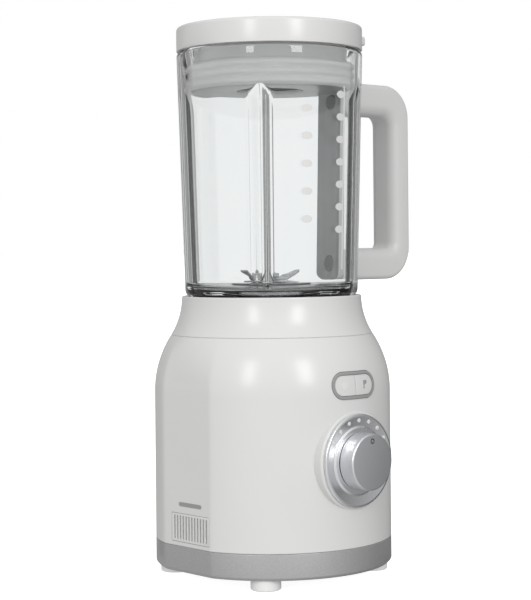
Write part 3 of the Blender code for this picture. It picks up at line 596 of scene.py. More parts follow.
@dataclass(frozen=True)
class Etched(Finish):
    """A circuit board: copper tracks that show through the green mask."""

    cell: float = 4 * MM

    def paint(self, bench: Bench) -> None:
        """Draws the tracks as the edges of square cells.

        Args:
            bench: The nodes it is laid on.
        """
        cells = bench.cells(self.cell, "CHEBYCHEV")
        edge = add_node(bench.tree, "ShaderNodeMath", {0: cells, 1: 0.5}, operation="GREATER_THAN")
        self.tint(bench, edge.outputs[0])
        bench.mark(edge.outputs[0], 0.05 * MM)


@dataclass(frozen=True)
class PressedGlass(Finish):
    """Pressed soda-lime glass: clear, its walls very slightly wavy from the mould."""

    wave: float = 30 * MM

    def paint(self, bench: Bench) -> None:
        """Makes it clear and lays the slow waves over it.

        Args:
            bench: The nodes it is laid on.
        """
        bench.shader.inputs["Transmission Weight"].default_value = 1.0
        cloud = bench.cloud(self.wave, 1.0)
        self.tint(bench, cloud)
        bench.mark(cloud, 0.05 * MM)


@dataclass(frozen=True)
class Silicone(Moulded):
    """Moulded silicone rubber: milky, with light passing a little way into it."""

    def paint(self, bench: Bench) -> None:
        """Adds the light under the surface to the moulded skin.

        Args:
            bench: The nodes it is laid on.
        """
        super().paint(bench)
        bench.shader.inputs["Subsurface Weight"].default_value = 0.3
        bench.shader.inputs["Subsurface Radius"].default_value = (1.0, 1.0, 1.0)
        bench.shader.inputs["Subsurface Scale"].default_value = 2 * MM


KNOB_CENTRE = (-AXIS[0], 0.0, -92.5 * MM)

# Gloss ABS, moulded: an even white with soft reflections.
WHITE_ABS = Moulded("white_gloss_abs_moulded", "#D7D7D6", "#D4D4D3", 0.24, ior=1.5)
# The handle and lid are the same plastic, a touch more satin where hands hold them.
WHITE_ABS_SATIN = Moulded("white_satin_abs_moulded", "#D6D6D5", "#D2D2D1", 0.33, ior=1.5)
# Lacquered trim: mid grey, and it lightens where it faces the lights.
SILVER_LACQUER = Flaked("silver_lacquer_on_abs", "#A4A4A4", "#B4B4B4", 0.42, metallic=0.5)
# Thermoplastic rubber feet: pale and dull.
PALE_RUBBER = Moulded("pale_tpe_rubber_moulded", "#ECECEB", "#E4E4E3", 0.7, ior=1.5, grain=1.5 * MM)
# Satin-chromed ring: soft reflections drawn out by fine polishing marks.
CHROME = Worked("chrome_plated_satin", "#ECEDEF", "#E2E3E5", 0.22, 1.0, depth=0.002 * MM)
# Aluminium cap, faced on a lathe and anodised: a soft grey sheen in rings.
SATIN_ALUMINIUM = Turned("aluminium_turned_anodised", "#E2E3E5", "#D6D7D9", 0.34, 1.0, centre=KNOB_CENTRE)
# Jar glass: colourless with a trace of green in its depth.
GLASS = PressedGlass("soda_lime_glass_pressed", "#FBFCFC", "#F9FBFB", 0.0, ior=1.52)
# Lid gasket: milky and soft.
GASKET = Silicone("silicone_rubber_moulded", "#EEEEEC", "#E8E8E6", 0.4, ior=1.41)
# Printed scale on the glass: a thin frosted ink.
SCALE_INK = Moulded("frosted_ink_screen_printed", "#DCDCDB", "#D4D4D3", 0.6, ior=1.5, grain=0.8 * MM)
GREY_PLASTIC = Moulded("grey_polypropylene_moulded", "#CACACB", "#C3C3C4", 0.42, ior=1.49)
# Underside of the lid's plug: painted shade, a darker grey than the cover that stands in for the shade the
# underside lies in.
PAINTED_SHADE_UNDERSIDE = Moulded("abs_painted_shade_underside", "#6E6E6E", "#666666", 0.3, ior=1.49)
DARK_NYLON = Moulded("dark_nylon_moulded", "#3A3A3B", "#303031", 0.45, ior=1.53)
PRINT_GREY = Moulded("grey_ink_pad_printed", "#9A9A9A", "#8F8F8F", 0.5, ior=1.5, grain=0.8 * MM)
STEEL = Worked(
    "stainless_steel_brushed", "#B4B5B7", "#96979A", 0.26, 1.0, streak=(0.2 / MM, 0.2 / MM, 2 / MM)
)
CORE = Banded("silicon_steel_laminated", "#6A6B6D", "#4A4B4D", 0.5, 1.0)
COPPER = Banded("enamelled_copper_wound", "#B5622E", "#7E3F1C", 0.32, 1.0, pitch=1.2 * MM)
BRASS = Worked("brass_turned", "#C9A45A", "#B08C45", 0.3, 1.0)
CARBON = Moulded("carbon_graphite_pressed", "#2B2B2C", "#1F1F20", 0.75, grain=0.6 * MM, depth=0.05 * MM)
BOARD = Etched("fr4_board_green_mask", "#1E5A33", "#2F7A48", 0.4)

# The CAD nodes that stay as they are, by finish.
KEPT_NODES: dict[Finish, tuple[str, ...]] = {
    GREY_PLASTIC: ("bottom_plate",),
    STEEL: (
        "foot_screw_front_left", "foot_screw_front_right", "foot_screw_rear_left", "foot_screw_rear_right",
        "bearing_upper", "bearing_lower", "motor_shaft", "motor_bracket_upper", "motor_bracket_lower",
        "blade_shaft",
    ),
    CORE: ("motor_stator", "armature_core"),
    COPPER: ("field_coil_left", "field_coil_right", "commutator"),
    BRASS: ("brush_holder_front", "brush_holder_rear", "blade_bush"),
    CARBON: ("carbon_brush_front", "carbon_brush_rear"),
    DARK_NYLON: (
        "motor_mount_left", "motor_mount_right", "selector_switch", "interlock_switch", "cooling_fan",
        "drive_coupling", "driven_coupling", "blade_seal",
    ),
    BOARD: ("button_board", "power_board"),
}


def dress_kept_nodes() -> None:
    """Gives the CAD nodes that stay their finishes."""
    for finish, names in KEPT_NODES.items():
        for name in names:
            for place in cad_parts[name].material_slots:
                place.material = finish.make()
        LOG.info("%s on %s", finish.name, ", ".join(names))


def settle(
    piece: Piece, finish: Finish, body: str, slot: str, *stands_for: str, smooth: float = 30.0
) -> Piece:
    """Finishes a piece: moves it to the drive axis, smooths and dresses it, and puts it on its body.

    Args:
        piece: The shaped object, standing round the origin.
        finish: What it is made of.
        body: The CAD body that carries it.
        slot: The record's material slot; not used.
        stands_for: The CAD nodes that it replaces.
        smooth: The angle in degrees past which an edge stays sharp.

    Returns:
        The same object.
    """
    aim(piece, move=tuple(AXIS))
    bpy.ops.object.shade_smooth_by_angle(angle=math.radians(smooth))
    piece.data.materials.clear()
    piece.data.materials.append(finish.make())
    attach(piece, body)
    if stands_for:
        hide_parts(*stands_for)
    LOG.info("%s on %s: %d faces, %s", piece.name, body, len(piece.data.polygons), finish.name)
    return piece


# ---------------------------------------------------------------- base


@dataclass
class BaseForm:
    """The outer form of the base: a straight body, a round shoulder and a hollow neck."""

    radius: float = 91.0 * MM
    neck_radius: float = 69.5 * MM
    flat_share: float = 0.956
    sides: int = 148
    shoulder_start: float = 140.0 * MM
    shoulder_arc: float = 78.3 * MM
    neck_arc: float = 56.0 * MM
    fade_start: float = 150.0 * MM
    seam: float = 183.5 * MM
    top: float = 213.0 * MM

    def radius_at(self, height: float) -> float:
        """Finds the radius of the round part of the surface.

        Args:
            height: The height above the table.

        Returns:
            The radius there.
        """
        if height >= self.seam:
            drop = self.top - height
            return self.neck_radius + self.neck_arc - math.sqrt(self.neck_arc**2 - drop**2)
        rise = max(0.0, height - self.shoulder_start)
        return self.radius - self.shoulder_arc + math.sqrt(self.shoulder_arc**2 - rise**2)

    def flatness(self, height: float) -> float:
        """How far the side flats have formed at a height, from 0 at the seam to 1."""
        return min(1.0, max(0.0, (self.seam - height) / (self.seam - self.fade_start)))

    def surface(self, low: float, high: float, steps: int, offset: float = 0.0) -> list[Point]:
        """Points of the outer surface between two heights."""
        heights = [low + (high - low) * i / steps for i in range(steps + 1)]
        return [(self.radius_at(height) + offset, height) for height in heights]

    def flatten(self, piece: Piece, outline: list[Point]) -> None:
        """Presses the side flats into a turned piece, the inner rings first.

        Args:
            piece: The piece, as it was turned.
            outline: The outline that it was turned from.
        """
        with editing(piece):
            for radius, height in sorted(set(outline)):
                share = self.flatness(height)
                if share == 0.0:
                    continue
                for side in (-1, 1):
                    limit = self.flat_share * radius

                    def beyond(places: list[Vector]) -> bool:
                        """Whether a place on this ring lies past the flat."""
                        spot = places[0]
                        on_ring = abs(math.hypot(spot.x, spot.y) - radius) < 0.02 * MM
                        return on_ring and abs(spot.z - height) < TINY * 10 and side * spot.x > limit

                    pick(piece, Element.VERTEX, beyond)
                    bpy.ops.transform.resize(
                        value=(1.0 - share, 1.0, 1.0), center_override=(side * limit, 0.0, 0.0)
                    )
            tidy_normals()

    def soften_creases(self, piece: Piece, width: float) -> None:
        """Rounds the upright creases where the flats begin.

        Args:
            piece: The piece with the flats pressed in.
            width: How far the rounding goes from the crease.
        """
        crease = math.degrees(math.acos(self.flat_share))

        def on_crease(places: list[Vector]) -> bool:
            """Whether an edge of the outer wall runs up a crease."""
            turns = [math.degrees(math.atan2(abs(spot.y), abs(spot.x))) for spot in places]
            inside = any(math.hypot(spot.x, spot.y) < 0.96 * self.radius_at(spot.z) for spot in places)
            return all(abs(turn - crease) < 0.2 for turn in turns) and not inside

        with editing(piece):
            if pick(piece, Element.EDGE, on_crease):
                bpy.ops.mesh.bevel(offset=width, segments=3, affect="EDGES")

    def core(self, name: str, offset: float, low: float, high: float) -> Piece:
        """A solid under the surface plus an offset, which crops what stands on the front."""
        return lathe(name, [(0.0, low), *self.surface(low, high, 12, offset), (0.0, high)], 240)


@dataclass
class BaseShell:
    """Housing, neck, trim band, feet, vents and the cord's gland."""

    form: BaseForm
    wall: float = 3.0 * MM
    trim_low: float = 8.5 * MM
    trim_high: float = 28.0 * MM
    trim_wall: float = 4.5 * MM
    boss_radius: float = 36.5 * MM
    boss_face: float = 91.5 * MM
    boss_height: float = 92.5 * MM
    pill_height: float = 148.0 * MM
    gland_height: float = 44.0 * MM
    vent_height: float = 42.0 * MM
    vent_offset: float = 3.5 * MM
    slot_count: int = 12
    slot_pitch: float = 3.3 * MM
    gap: float = 0.3 * MM
    seam_gap: float = 0.1 * MM
    foot_places: dict[str, Point] = field(default_factory=lambda: {
        "front_left": (-56.0 * MM, -52.0 * MM), "front_right": (56.0 * MM, -52.0 * MM),
        "rear_left": (-56.0 * MM, 52.0 * MM), "rear_right": (56.0 * MM, 52.0 * MM),
    })

    def build(self) -> None:
        """Builds the shells and what is fixed to them."""
        self.housing()
        self.neck()
        self.trim()
        self.feet()
        self.vents()
        self.gland()

    def housing(self) -> None:
        """The housing: its wall with soft rims, the round boss behind the knob, and its openings."""
        form = self.form
        low, high = self.trim_high + self.seam_gap, form.seam - self.seam_gap
        outer = form.surface(form.shoulder_start, high - 0.4 * MM, 20)
        outline = [
            (form.radius - self.wall, low), (form.radius - 0.5 * MM, low), (form.radius, low + 0.5 * MM),
            *outer, (form.radius_at(high) - 0.4 * MM, high), (form.radius_at(high) - self.wall, high),
            *[(radius - self.wall, height) for radius, height in reversed(outer[::4])],
        ]
        shell = lathe("housing_shell", outline, form.sides)
        form.flatten(shell, outline)
        form.soften_creases(shell, 1.6 * MM)
        front = {"turn": (90.0, 0.0, 0.0), "move": (0.0, 0.0, self.boss_height)}
        edge = [(self.boss_radius, 80 * MM, 0.0), (self.boss_radius, self.boss_face, 1.6 * MM)]
        boss = [(0.0, 80 * MM, 0.0), *edge, (0.0, self.boss_face, 0.0)]
        meet(shell, aim(lathe("boss", rounded(boss), 128), **front), Joining.ADD)
        meet(shell, aim(rod("boss_pocket", 33 * MM, 60 * MM, 88.5 * MM, 96), **front), Joining.CUT)
        meet(shell, aim(rod("boss_bore", 5 * MM, 50 * MM, 100 * MM, 48), **front), Joining.CUT)
        window = pill(21.75 * MM + self.gap, 10.0 * MM + self.gap, (0.0, self.pill_height))
        meet(shell, slab("pill_hole", window, -100 * MM, -60 * MM), Joining.CUT)
        inlet = rod("inlet", 6.3 * MM, 70 * MM, 100 * MM, 48)
        meet(shell, aim(inlet, (-90.0, 0.0, 0.0), (0.0, 0.0, self.gland_height)), Joining.CUT)
        for turn in (-90.0, 90.0):
            meet(shell, self.vent_block("vent_hole", self.gap, 20 * MM, 120 * MM, turn), Joining.CUT)
        settle(shell, WHITE_ABS, "base", "white_housing", "housing", smooth=24.0)

    def neck(self) -> None:
        """The hollow-curved neck with its rolled rim and the deck that the jar stands on."""
        form = self.form
        outer = form.surface(form.seam + 0.4 * MM, form.top - 1.6 * MM, 18)
        corners = [
            (form.radius_at(form.seam) - 0.4 * MM, form.seam, 0.0), *[(r, z, 0.0) for r, z in outer],
            (form.neck_radius, form.top, 1.2 * MM), (65 * MM, form.top, 1.2 * MM),
            (65 * MM, 197 * MM, 1 * MM), (24 * MM, 197 * MM, 0.6 * MM), (24 * MM, 194 * MM, 0.0),
            (66 * MM, 194 * MM, 0.0),
            (form.radius_at(form.seam) - self.wall, form.seam, 0.0),
        ]
        collar = lathe("neck_shell", rounded(corners), 144)
        hole = rod("plunger_hole", 3 * MM, 185 * MM, 205 * MM, 32)
        meet(collar, aim(hole, move=(0.0, 60 * MM, 0.0)), Joining.CUT)
        settle(collar, WHITE_ABS, "base", "white_housing", "top_collar")

    def trim(self) -> None:
        """The lacquered band round the foot, turned in a little at its lower edge."""
        form = self.form
        corners = [
            (form.radius - 2 * MM, self.trim_low, 0.6 * MM), (form.radius, self.trim_low + 2 * MM, 1.6 * MM),
            (form.radius, self.trim_high, 0.5 * MM), (form.radius - self.trim_wall, self.trim_high, 0.0),
            (form.radius - self.trim_wall, self.trim_low, 0.0),
        ]
        outline = rounded(corners)
        band = lathe("trim_shell", outline, form.sides)
        form.flatten(band, outline)
        form.soften_creases(band, 1.6 * MM)
        settle(band, SILVER_LACQUER, "base", "silver_trim", "trim_band", smooth=24.0)

    def feet(self) -> None:
        """Four rubber feet, one modelled and the others copied."""
        corners = [
            (5 * MM, 0.0, 0.5 * MM), (11.25 * MM, 0.0, 1.5 * MM), (11.25 * MM, 8.3 * MM, 0.0),
            (2.6 * MM, 8.3 * MM, 0.0), (2.6 * MM, 4 * MM, 0.0), (5 * MM, 4 * MM, 0.0),
        ]
        pattern = lathe("foot_pattern", rounded(corners), 64)
        for place, (x, y) in self.foot_places.items():
            foot = twin(pattern, f"rubber_foot_{place}", move=(x, y, 0.0))
            settle(foot, PALE_RUBBER, "base", "foot_rubber", f"foot_{place}")
        bpy.data.objects.remove(pattern, do_unlink=True)

    def vent_block(self, name: str, grow: float, near: float, far: float, turn: float) -> Piece:
        """Makes a block through a vent opening, at the front, and turns it to its side.

        Args:
            name: Name of the object.
            grow: How much larger it is than the opening, all round.
            near: Where it starts, from the drive axis.
            far: Where it ends.
            turn: Its side, in degrees from the front.

        Returns:
            The block.
        """
        centre = (-math.copysign(self.vent_offset, turn), self.vent_height)
        half = (21.5 * MM + grow, 10.5 * MM + grow)
        corners = [
            (centre[0] + sx * half[0], centre[1] + sz * half[1], 1.0 * MM)
            for sx, sz in ((1, -1), (1, 1), (-1, 1), (-1, -1))
        ]
        return aim(slab(name, rounded(corners), -far, -near), (0.0, 0.0, turn))

    def vents(self) -> None:
        """The vent plates in the side flats, each with upright slots and a printed bar above it."""
        flat = self.form.flat_share * self.form.radius
        for side, turn in (("left", -90.0), ("right", 90.0)):
            plate = self.vent_block("vent_plate", 0.0, flat - 2.6 * MM, flat, turn)
            plate.name = f"vent_plate_{side}"
            centre = -math.copysign(self.vent_offset, turn)
            for i in range(self.slot_count):
                middle = centre + (i - (self.slot_count - 1) / 2) * self.slot_pitch
                shape = pill(9 * MM, 0.8 * MM)
                outline = [(middle - across, self.vent_height + along) for along, across in shape]
                slot = slab("slot", outline, -100 * MM, -70 * MM)
                meet(plate, aim(slot, (0.0, 0.0, turn)), Joining.CUT)
            ease(plate, 0.25 * MM, 2, 50.0)
            settle(plate, WHITE_ABS, "base", "white_housing", f"side_grille_{side}")
            bar = [(centre + x, z) for x, z in pill(13 * MM, 1.6 * MM, (0.0, 59.5 * MM))]
            stripe = slab(f"vent_stripe_{side}", bar, -flat - 0.05 * MM, -flat + 0.5 * MM)
            settle(aim(stripe, (0.0, 0.0, turn)), PRINT_GREY, "base", "grey_plastic")

    def gland(self) -> None:
        """The bush that the cord passes through at the back, with a flange each side of the wall."""
        corners = [
            (3.6 * MM, 84 * MM, 0.4 * MM), (8.5 * MM, 84 * MM, 0.4 * MM), (8.5 * MM, 87.3 * MM, 0.2 * MM),
            (6 * MM, 87.3 * MM, 0.0), (6 * MM, 91.4 * MM, 0.0), (8.5 * MM, 91.4 * MM, 0.3 * MM),
            (7 * MM, 94 * MM, 0.8 * MM), (3.6 * MM, 94 * MM, 0.6 * MM),
        ]
        bush = aim(lathe("cord_bush", rounded(corners), 64), (-90.0, 0.0, 0.0), (0.0, 0.0, self.gland_height))
        settle(bush, GREY_PLASTIC, "base", "grey_plastic", "cord_gland")


# ---------------------------------------------------------------- controls


@dataclass
class Controls:
    """Bezel, speed knob, its dial marks, and the two buttons in their pill-shaped frame."""

    form: BaseForm
    knob_height: float = 92.5 * MM
    bezel_radius: float = 34.5 * MM
    bezel_back: float = 91.8 * MM
    knob_radius: float = 21.25 * MM
    knob_back: float = 94.9 * MM
    knob_face: float = 107.5 * MM
    pointer_reach: float = 15.5 * MM
    mark_count: int = 7
    mark_step: float = 20.0
    mark_reach: float = 29.8 * MM
    pill_height: float = 148.0 * MM
    pill_length: float = 21.75 * MM
    pill_width: float = 10.0 * MM
    pill_rim: float = 2.2 * MM

    def build(self) -> None:
        """Builds the controls."""
        self.bezel()
        self.knob()
        self.dial_marks()
        self.pill_frame()
        for name, side in (("ice", -1), ("pulse", 1)):
            self.button(name, side)

    def to_front(self, piece: Piece) -> Piece:
        """Turns a piece made round the drive axis to the knob's axis."""
        return aim(piece, (90.0, 0.0, 0.0), (0.0, 0.0, self.knob_height))

    def bezel(self) -> None:
        """The chromed ring: a rim, a shallow dish for the marks, and a collar round the knob."""
        corners = [
            (5 * MM, self.bezel_back, 0.0), (self.bezel_radius, self.bezel_back, 0.2 * MM),
            (self.bezel_radius, 93.9 * MM, 0.9 * MM), (32.6 * MM, 94.35 * MM, 0.8 * MM),
            (25.6 * MM, 93.0 * MM, 1.0 * MM), (24.4 * MM, 94.4 * MM, 0.7 * MM), (5 * MM, 94.4 * MM, 0.0),
        ]
        ring = self.to_front(lathe("bezel_ring", rounded(corners), 144))
        settle(ring, CHROME, "base", "chrome_bezel", "knob_bezel")

    def knob(self) -> None:
        """The knob, with a soft edge round a flat face, on its shaft, and its pointer."""
        corners = [
            (0.0, 76 * MM, 0.0), (3 * MM, 76 * MM, 0.0), (3 * MM, self.knob_back, 0.0),
            (self.knob_radius, self.knob_back, 0.4 * MM),
            (self.knob_radius - 0.5 * MM, self.knob_face, 1.4 * MM), (0.0, self.knob_face, 0.0),
        ]
        knob = self.to_front(lathe("knob_body", rounded(corners), 128))
        settle(knob, SATIN_ALUMINIUM, "knob", "satin_knob", "speed_knob", smooth=35.0)
        corners = [
            (1.1 * MM, 107.0 * MM, 0.0), (2.1 * MM, 107.0 * MM, 0.0),
            (2.1 * MM, self.knob_face, 0.15 * MM), (1.1 * MM, self.knob_face, 0.15 * MM),
        ]
        pointer = self.to_front(lathe("knob_pointer", rounded(corners, 2), 40))
        aim(pointer, move=(0.0, 0.0, self.pointer_reach))
        settle(pointer, PRINT_GREY, "knob", "grey_plastic")

    def dial_marks(self) -> None:
        """Small printed dots in the bezel's dish, one modelled and the others copied."""
        corners = [(0.0, 93.2 * MM, 0.0), (1.5 * MM, 93.2 * MM, 0.0), (1.5 * MM, 94.15 * MM, 0.1 * MM),
                   (0.0, 94.15 * MM, 0.0)]
        pattern = aim(lathe("mark_pattern", rounded(corners, 2), 24), move=(0.0, self.mark_reach, 0.0))
        for i in range(self.mark_count):
            turn = (i - (self.mark_count - 1) / 2) * self.mark_step
            mark = self.to_front(twin(pattern, f"dial_mark_{i + 1}", turn=-turn))
            settle(mark, SCALE_INK, "base", "grey_plastic")
        bpy.data.objects.remove(pattern, do_unlink=True)

    def pill_frame(self) -> None:
        """The rim round the buttons, standing just proud of the housing and following its curve."""
        centre = (0.0, self.pill_height)
        rim = slab("pill_frame", pill(self.pill_length, self.pill_width, centre), -100 * MM, -86 * MM)
        inner = pill(self.pill_length - self.pill_rim, self.pill_width - self.pill_rim, centre)
        meet(rim, slab("window", inner, -110 * MM, -80 * MM), Joining.CUT)
        meet(rim, self.form.core("limit", 0.6 * MM, 130 * MM, 166 * MM), Joining.CROP)
        ease(rim, 0.35 * MM, 2, 50.0)
        settle(rim, PRINT_GREY, "base", "grey_plastic", "button_frame")

    def button(self, name: str, side: int) -> None:
        """One half of the pill, with its mark.

        Args:
            name: ice or pulse.
            side: -1 for the left half and 1 for the right half.
        """
        inset = self.pill_rim + 0.35 * MM
        length, width = self.pill_length - inset, self.pill_width - inset
        curve = arc((length - width, 0.0), width, -90.0, 90.0, 20)
        half = [(0.16 * MM, -width), *curve, (0.16 * MM, width)]
        outline = [(side * x, self.pill_height + z) for x, z in half]
        key = slab(f"{name}_cap", outline, -100 * MM, -82 * MM)
        meet(key, self.form.core("limit", 0.1 * MM, 130 * MM, 166 * MM), Joining.CROP)
        ease(key, 0.25 * MM, 3, 50.0)
        settle(key, WHITE_ABS_SATIN, f"{name}_key", "white_housing", f"{name}_button")
        if side < 0:
            mark_outline = arc((-10.5 * MM, self.pill_height), 3.1 * MM, 0.0, 345.0, 23)
        else:
            mark_outline = [(x * MM, self.pill_height + z * MM) for x, z in
                            ((8.6, -3.0), (9.6, -3.0), (9.6, -0.4), (12.4, 1.0), (12.4, 3.0), (8.6, 3.0))]
        mark = slab(f"{name}_mark", mark_outline, -100 * MM, -84 * MM)
        meet(mark, self.form.core("limit", 0.22 * MM, 130 * MM, 166 * MM), Joining.CROP)
        settle(mark, SCALE_INK if side < 0 else PRINT_GREY, f"{name}_key", "grey_plastic")


# ---------------------------------------------------------------- jar


@dataclass
class Jar:
    """The glass jar, the scale printed on it, its collar, and the handle on its spine."""

    bottom: float = 211.0 * MM
    floor: float = 217.5 * MM
    top: float = 400.0 * MM
    foot_radius: float = 66.7 * MM
    rim_radius: float = 72.0 * MM
    corner: float = 7.0 * MM
    glass: float = 5.0 * MM
    hole: float = 26.0 * MM
    rib_turns: tuple[float, ...] = (56.25, 138.75, -138.75, -56.25)
    rib_depth: float = 4.4 * MM
    rib_half_angle: float = 7.5
    rib_end: float = 372.0 * MM
    rib_fade: float = 10.0 * MM
    lip_reach: float = 6.0 * MM
    lip_spread: float = 26.0 * MM
    sides: int = 192
    screw_head: float = 6.0 * MM
    screw_heights: dict[str, float] = field(default_factory=lambda: {"upper": 366 * MM, "lower": 238 * MM})

    def build(self) -> None:
        """Builds the jar and what is fixed to it."""
        self.glass_body()
        self.scale_marks()
        self.collar()
        self.spine()
        self.handle()
        self.screws()

    def radius_at(self, height: float) -> float:
        """Outer radius of the flared wall at a height."""
        share = (height - self.bottom - self.corner) / (self.top - self.bottom - self.corner)
        return self.foot_radius + share * (self.rim_radius - self.foot_radius)

    def glass_body(self) -> None:
        """The jar: one closed skin of glass, ribs inside it and a pouring lip."""
        inner = self.radius_at(self.floor) - self.glass
        heights = [self.floor + self.corner + step * 7.0 * MM for step in range(1, 24)]
        corners = [
            (self.hole, self.bottom, 0.4 * MM), (self.foot_radius, self.bottom, self.corner),
            *[(self.radius_at(z), z, 0.0) for z in (260 * MM, 310 * MM, 350 * MM, 372 * MM, 380 * MM)],
            *[(self.radius_at(z), z, 0.0) for z in (385 * MM, 389 * MM, 393 * MM)],
            (self.rim_radius, self.top, 2.3 * MM), (self.rim_radius - self.glass, self.top, 2.3 * MM),
            *[(self.radius_at(z) - self.glass, z, 0.0) for z in (393 * MM, 389 * MM, 385 * MM)],
            *[(self.radius_at(z) - self.glass, z, 0.0) for z in (self.rib_end, *self.fade_heights())],
            *[(self.radius_at(z) - self.glass, z, 0.0) for z in reversed(heights) if z < 358 * MM],
            (inner, self.floor, self.corner), (self.hole, self.floor, 0.4 * MM),
        ]
        jar = lathe("glass_body", rounded(corners, 8), self.sides)
        with editing(jar):
            self.press_ribs(jar)
            self.draw_lip(jar)
            tidy_normals()
        settle(jar, GLASS, "jar", "jar_glass", "glass_jar", smooth=40.0)

    def fade_heights(self) -> list[float]:
        """Rings close together where the ribs run out, from the top down."""
        return [self.rib_end - self.rib_fade * share for share in (0.15, 0.3, 0.45, 0.6, 0.8, 1.0)]

    def press_ribs(self, jar: Piece) -> None:
        """Moves the inner wall in at each rib, ring by ring, with a section like a soft ridge.

        Args:
            jar: The turned glass, in edit mode.
        """
        shape = bmesh.from_edit_mesh(jar.data)
        inner = [v.co for v in shape.verts if self.inside(v.co)]
        rings = sorted({round(co.z, 6) for co in inner})
        step = 360.0 / self.sides
        steps = int(self.rib_half_angle / step)
        radii = {
            ring: max(math.hypot(co.x, co.y) for co in inner if round(co.z, 6) == ring) for ring in rings
        }
        for ring, radius in radii.items():
            fade = min(1.0, (self.rib_end - ring) / self.rib_fade)
            for i in range(steps + 1):
                ridge = math.cos(math.pi / 2 * i * step / self.rib_half_angle) ** 2
                depth = self.rib_depth * (ridge + fade - 1.0)
                if depth <= 10 * TINY:
                    continue

                def on_rib(places: list[Vector]) -> bool:
                    """Whether a place on this ring is this many steps from a rib's middle."""
                    spot = places[0]
                    if abs(spot.z - ring) > TINY * 10 or not self.inside(spot):
                        return False
                    turn = math.degrees(math.atan2(spot.y, spot.x))
                    away = min(abs(math.remainder(turn - middle, 360.0)) for middle in self.rib_turns)
                    return abs(away - i * step) < step / 4

                pick(jar, Element.VERTEX, on_rib)
                share = (radius - depth) / radius
                bpy.ops.transform.resize(value=(share, share, 1.0), center_override=(0.0, 0.0, 0.0))

    def inside(self, spot: Vector) -> bool:
        """Tells whether a place is on the inner wall below the ribs' upper ends.

        Args:
            spot: The place.

        Returns:
            True if it is.
        """
        reach = math.hypot(spot.x, spot.y)
        on_wall = 40 * MM < reach < self.radius_at(spot.z) - 0.6 * self.glass
        return on_wall and self.floor - TINY < spot.z < self.rib_end

    def draw_lip(self, jar: Piece) -> None:
        """Draws the rim out into the pouring lip, opposite the handle.

        Args:
            jar: The turned glass, in edit mode.
        """
        pick(jar, Element.VERTEX, lambda places: places[0].x < -(self.rim_radius - self.glass - 1 * MM)
             and abs(places[0].y) < 3 * MM and places[0].z > self.top - 1.5 * MM)
        bpy.ops.transform.translate(
            value=(-self.lip_reach, 0.0, 0.0), use_proportional_edit=True,
            proportional_edit_falloff="SMOOTH", proportional_size=self.lip_spread,
        )

    def scale_marks(self) -> None:
        """Two columns of printed ovals on the outside of the glass, and a line beside them."""
        columns = (("litres", -19.5, 5, 20.5, 352.8), ("cups", 6.0, 7, 16.8, 363.9))
        for column, turn, count, pitch, top in columns:
            for i in range(count):
                height = (top - i * pitch) * MM
                outline = [(4.4 * x, height + 2.8 * z) for x, z in arc((0.0, 0.0), MM, 0.0, 345.0, 23)]
                oval = slab(f"scale_{column}_{i + 1}", outline, -90 * MM, -60 * MM)
                radius = self.radius_at(height)
                skin = [(radius + 0.02 * MM, height - 5 * MM), (radius + 0.14 * MM, height - 5 * MM),
                        (radius + 0.14 * MM, height + 5 * MM), (radius + 0.02 * MM, height + 5 * MM)]
                meet(oval, lathe("skin", self.lean(skin, height), 240), Joining.CROP)
                settle(aim(oval, (0.0, 0.0, turn)), SCALE_INK, "jar", "white_silicone")
        self.scale_line()

    def scale_line(self) -> None:
        """The thin printed line that runs down between the scale and the handle."""
        outline = [(-0.8 * MM, 233 * MM), (0.8 * MM, 233 * MM), (0.8 * MM, 370 * MM), (-0.8 * MM, 370 * MM)]
        line = slab("scale_line", outline, -90 * MM, -60 * MM)
        low, high = 232 * MM, 371 * MM
        skin = [(self.radius_at(low) + 0.02 * MM, low), (self.radius_at(low) + 0.14 * MM, low),
                (self.radius_at(high) + 0.14 * MM, high), (self.radius_at(high) + 0.02 * MM, high)]
        meet(line, lathe("skin", skin, 240), Joining.CROP)
        settle(aim(line, (0.0, 0.0, 9.5)), SCALE_INK, "jar", "white_silicone")

    def lean(self, outline: list[Point], height: float) -> list[Point]:
        """Leans an outline on the flare of the wall at a height."""
        return [(radius + self.radius_at(z) - self.radius_at(height), z) for radius, z in outline]

    def collar(self) -> None:
        """The ring under the jar that drops into the neck."""
        corners = [
            (25.8 * MM, 207.7 * MM, 0.0), (25.8 * MM, 210.7 * MM, 0.0), (62.5 * MM, 210.7 * MM, 1.0 * MM),
            (62.5 * MM, 197.3 * MM, 0.8 * MM), (58.5 * MM, 197.3 * MM, 0.8 * MM),
            (58.5 * MM, 207.7 * MM, 0.8 * MM),
        ]
        settle(lathe("jar_foot_ring", rounded(corners), 128), WHITE_ABS, "jar", "white_housing", "jar_collar")

    def wall_tool(self, clear: float) -> Piece:
        """Makes a solid the size of the jar plus a clearance, to cut what is fitted to it.

        Args:
            clear: The clearance.

        Returns:
            The solid.
        """
        low, high = 215 * MM, 395 * MM
        wall = [(self.radius_at(low) + clear, low), (self.radius_at(high) + clear, high)]
        return lathe("wall_tool", [(0.0, low), *wall, (0.0, high)], self.sides)

    def spine(self) -> None:
        """The grey strip bonded to the glass, which carries the handle."""
        half, low, high = 14.35 * MM, 223 * MM, 378 * MM
        corners = [(half, low, 9 * MM), (half, high, 5 * MM), (-half, high, 5 * MM), (-half, low, 9 * MM)]
        strip = aim(slab("handle_strip", rounded(corners, 8), -76.5 * MM, -62 * MM), (0.0, 0.0, 90.0))
        meet(strip, self.wall_tool(0.3 * MM), Joining.CUT)
        for height in self.screw_heights.values():
            seat = rod("seat", self.screw_head + 0.5 * MM, 60 * MM, self.radius_at(height) + 3.3 * MM, 40)
            meet(strip, aim(seat, (0.0, 90.0, 0.0), (0.0, 0.0, height)), Joining.CUT)
        ease(strip, 0.6 * MM, 2, 50.0)
        settle(strip, GREY_PLASTIC, "jar", "grey_plastic", "handle_spine")

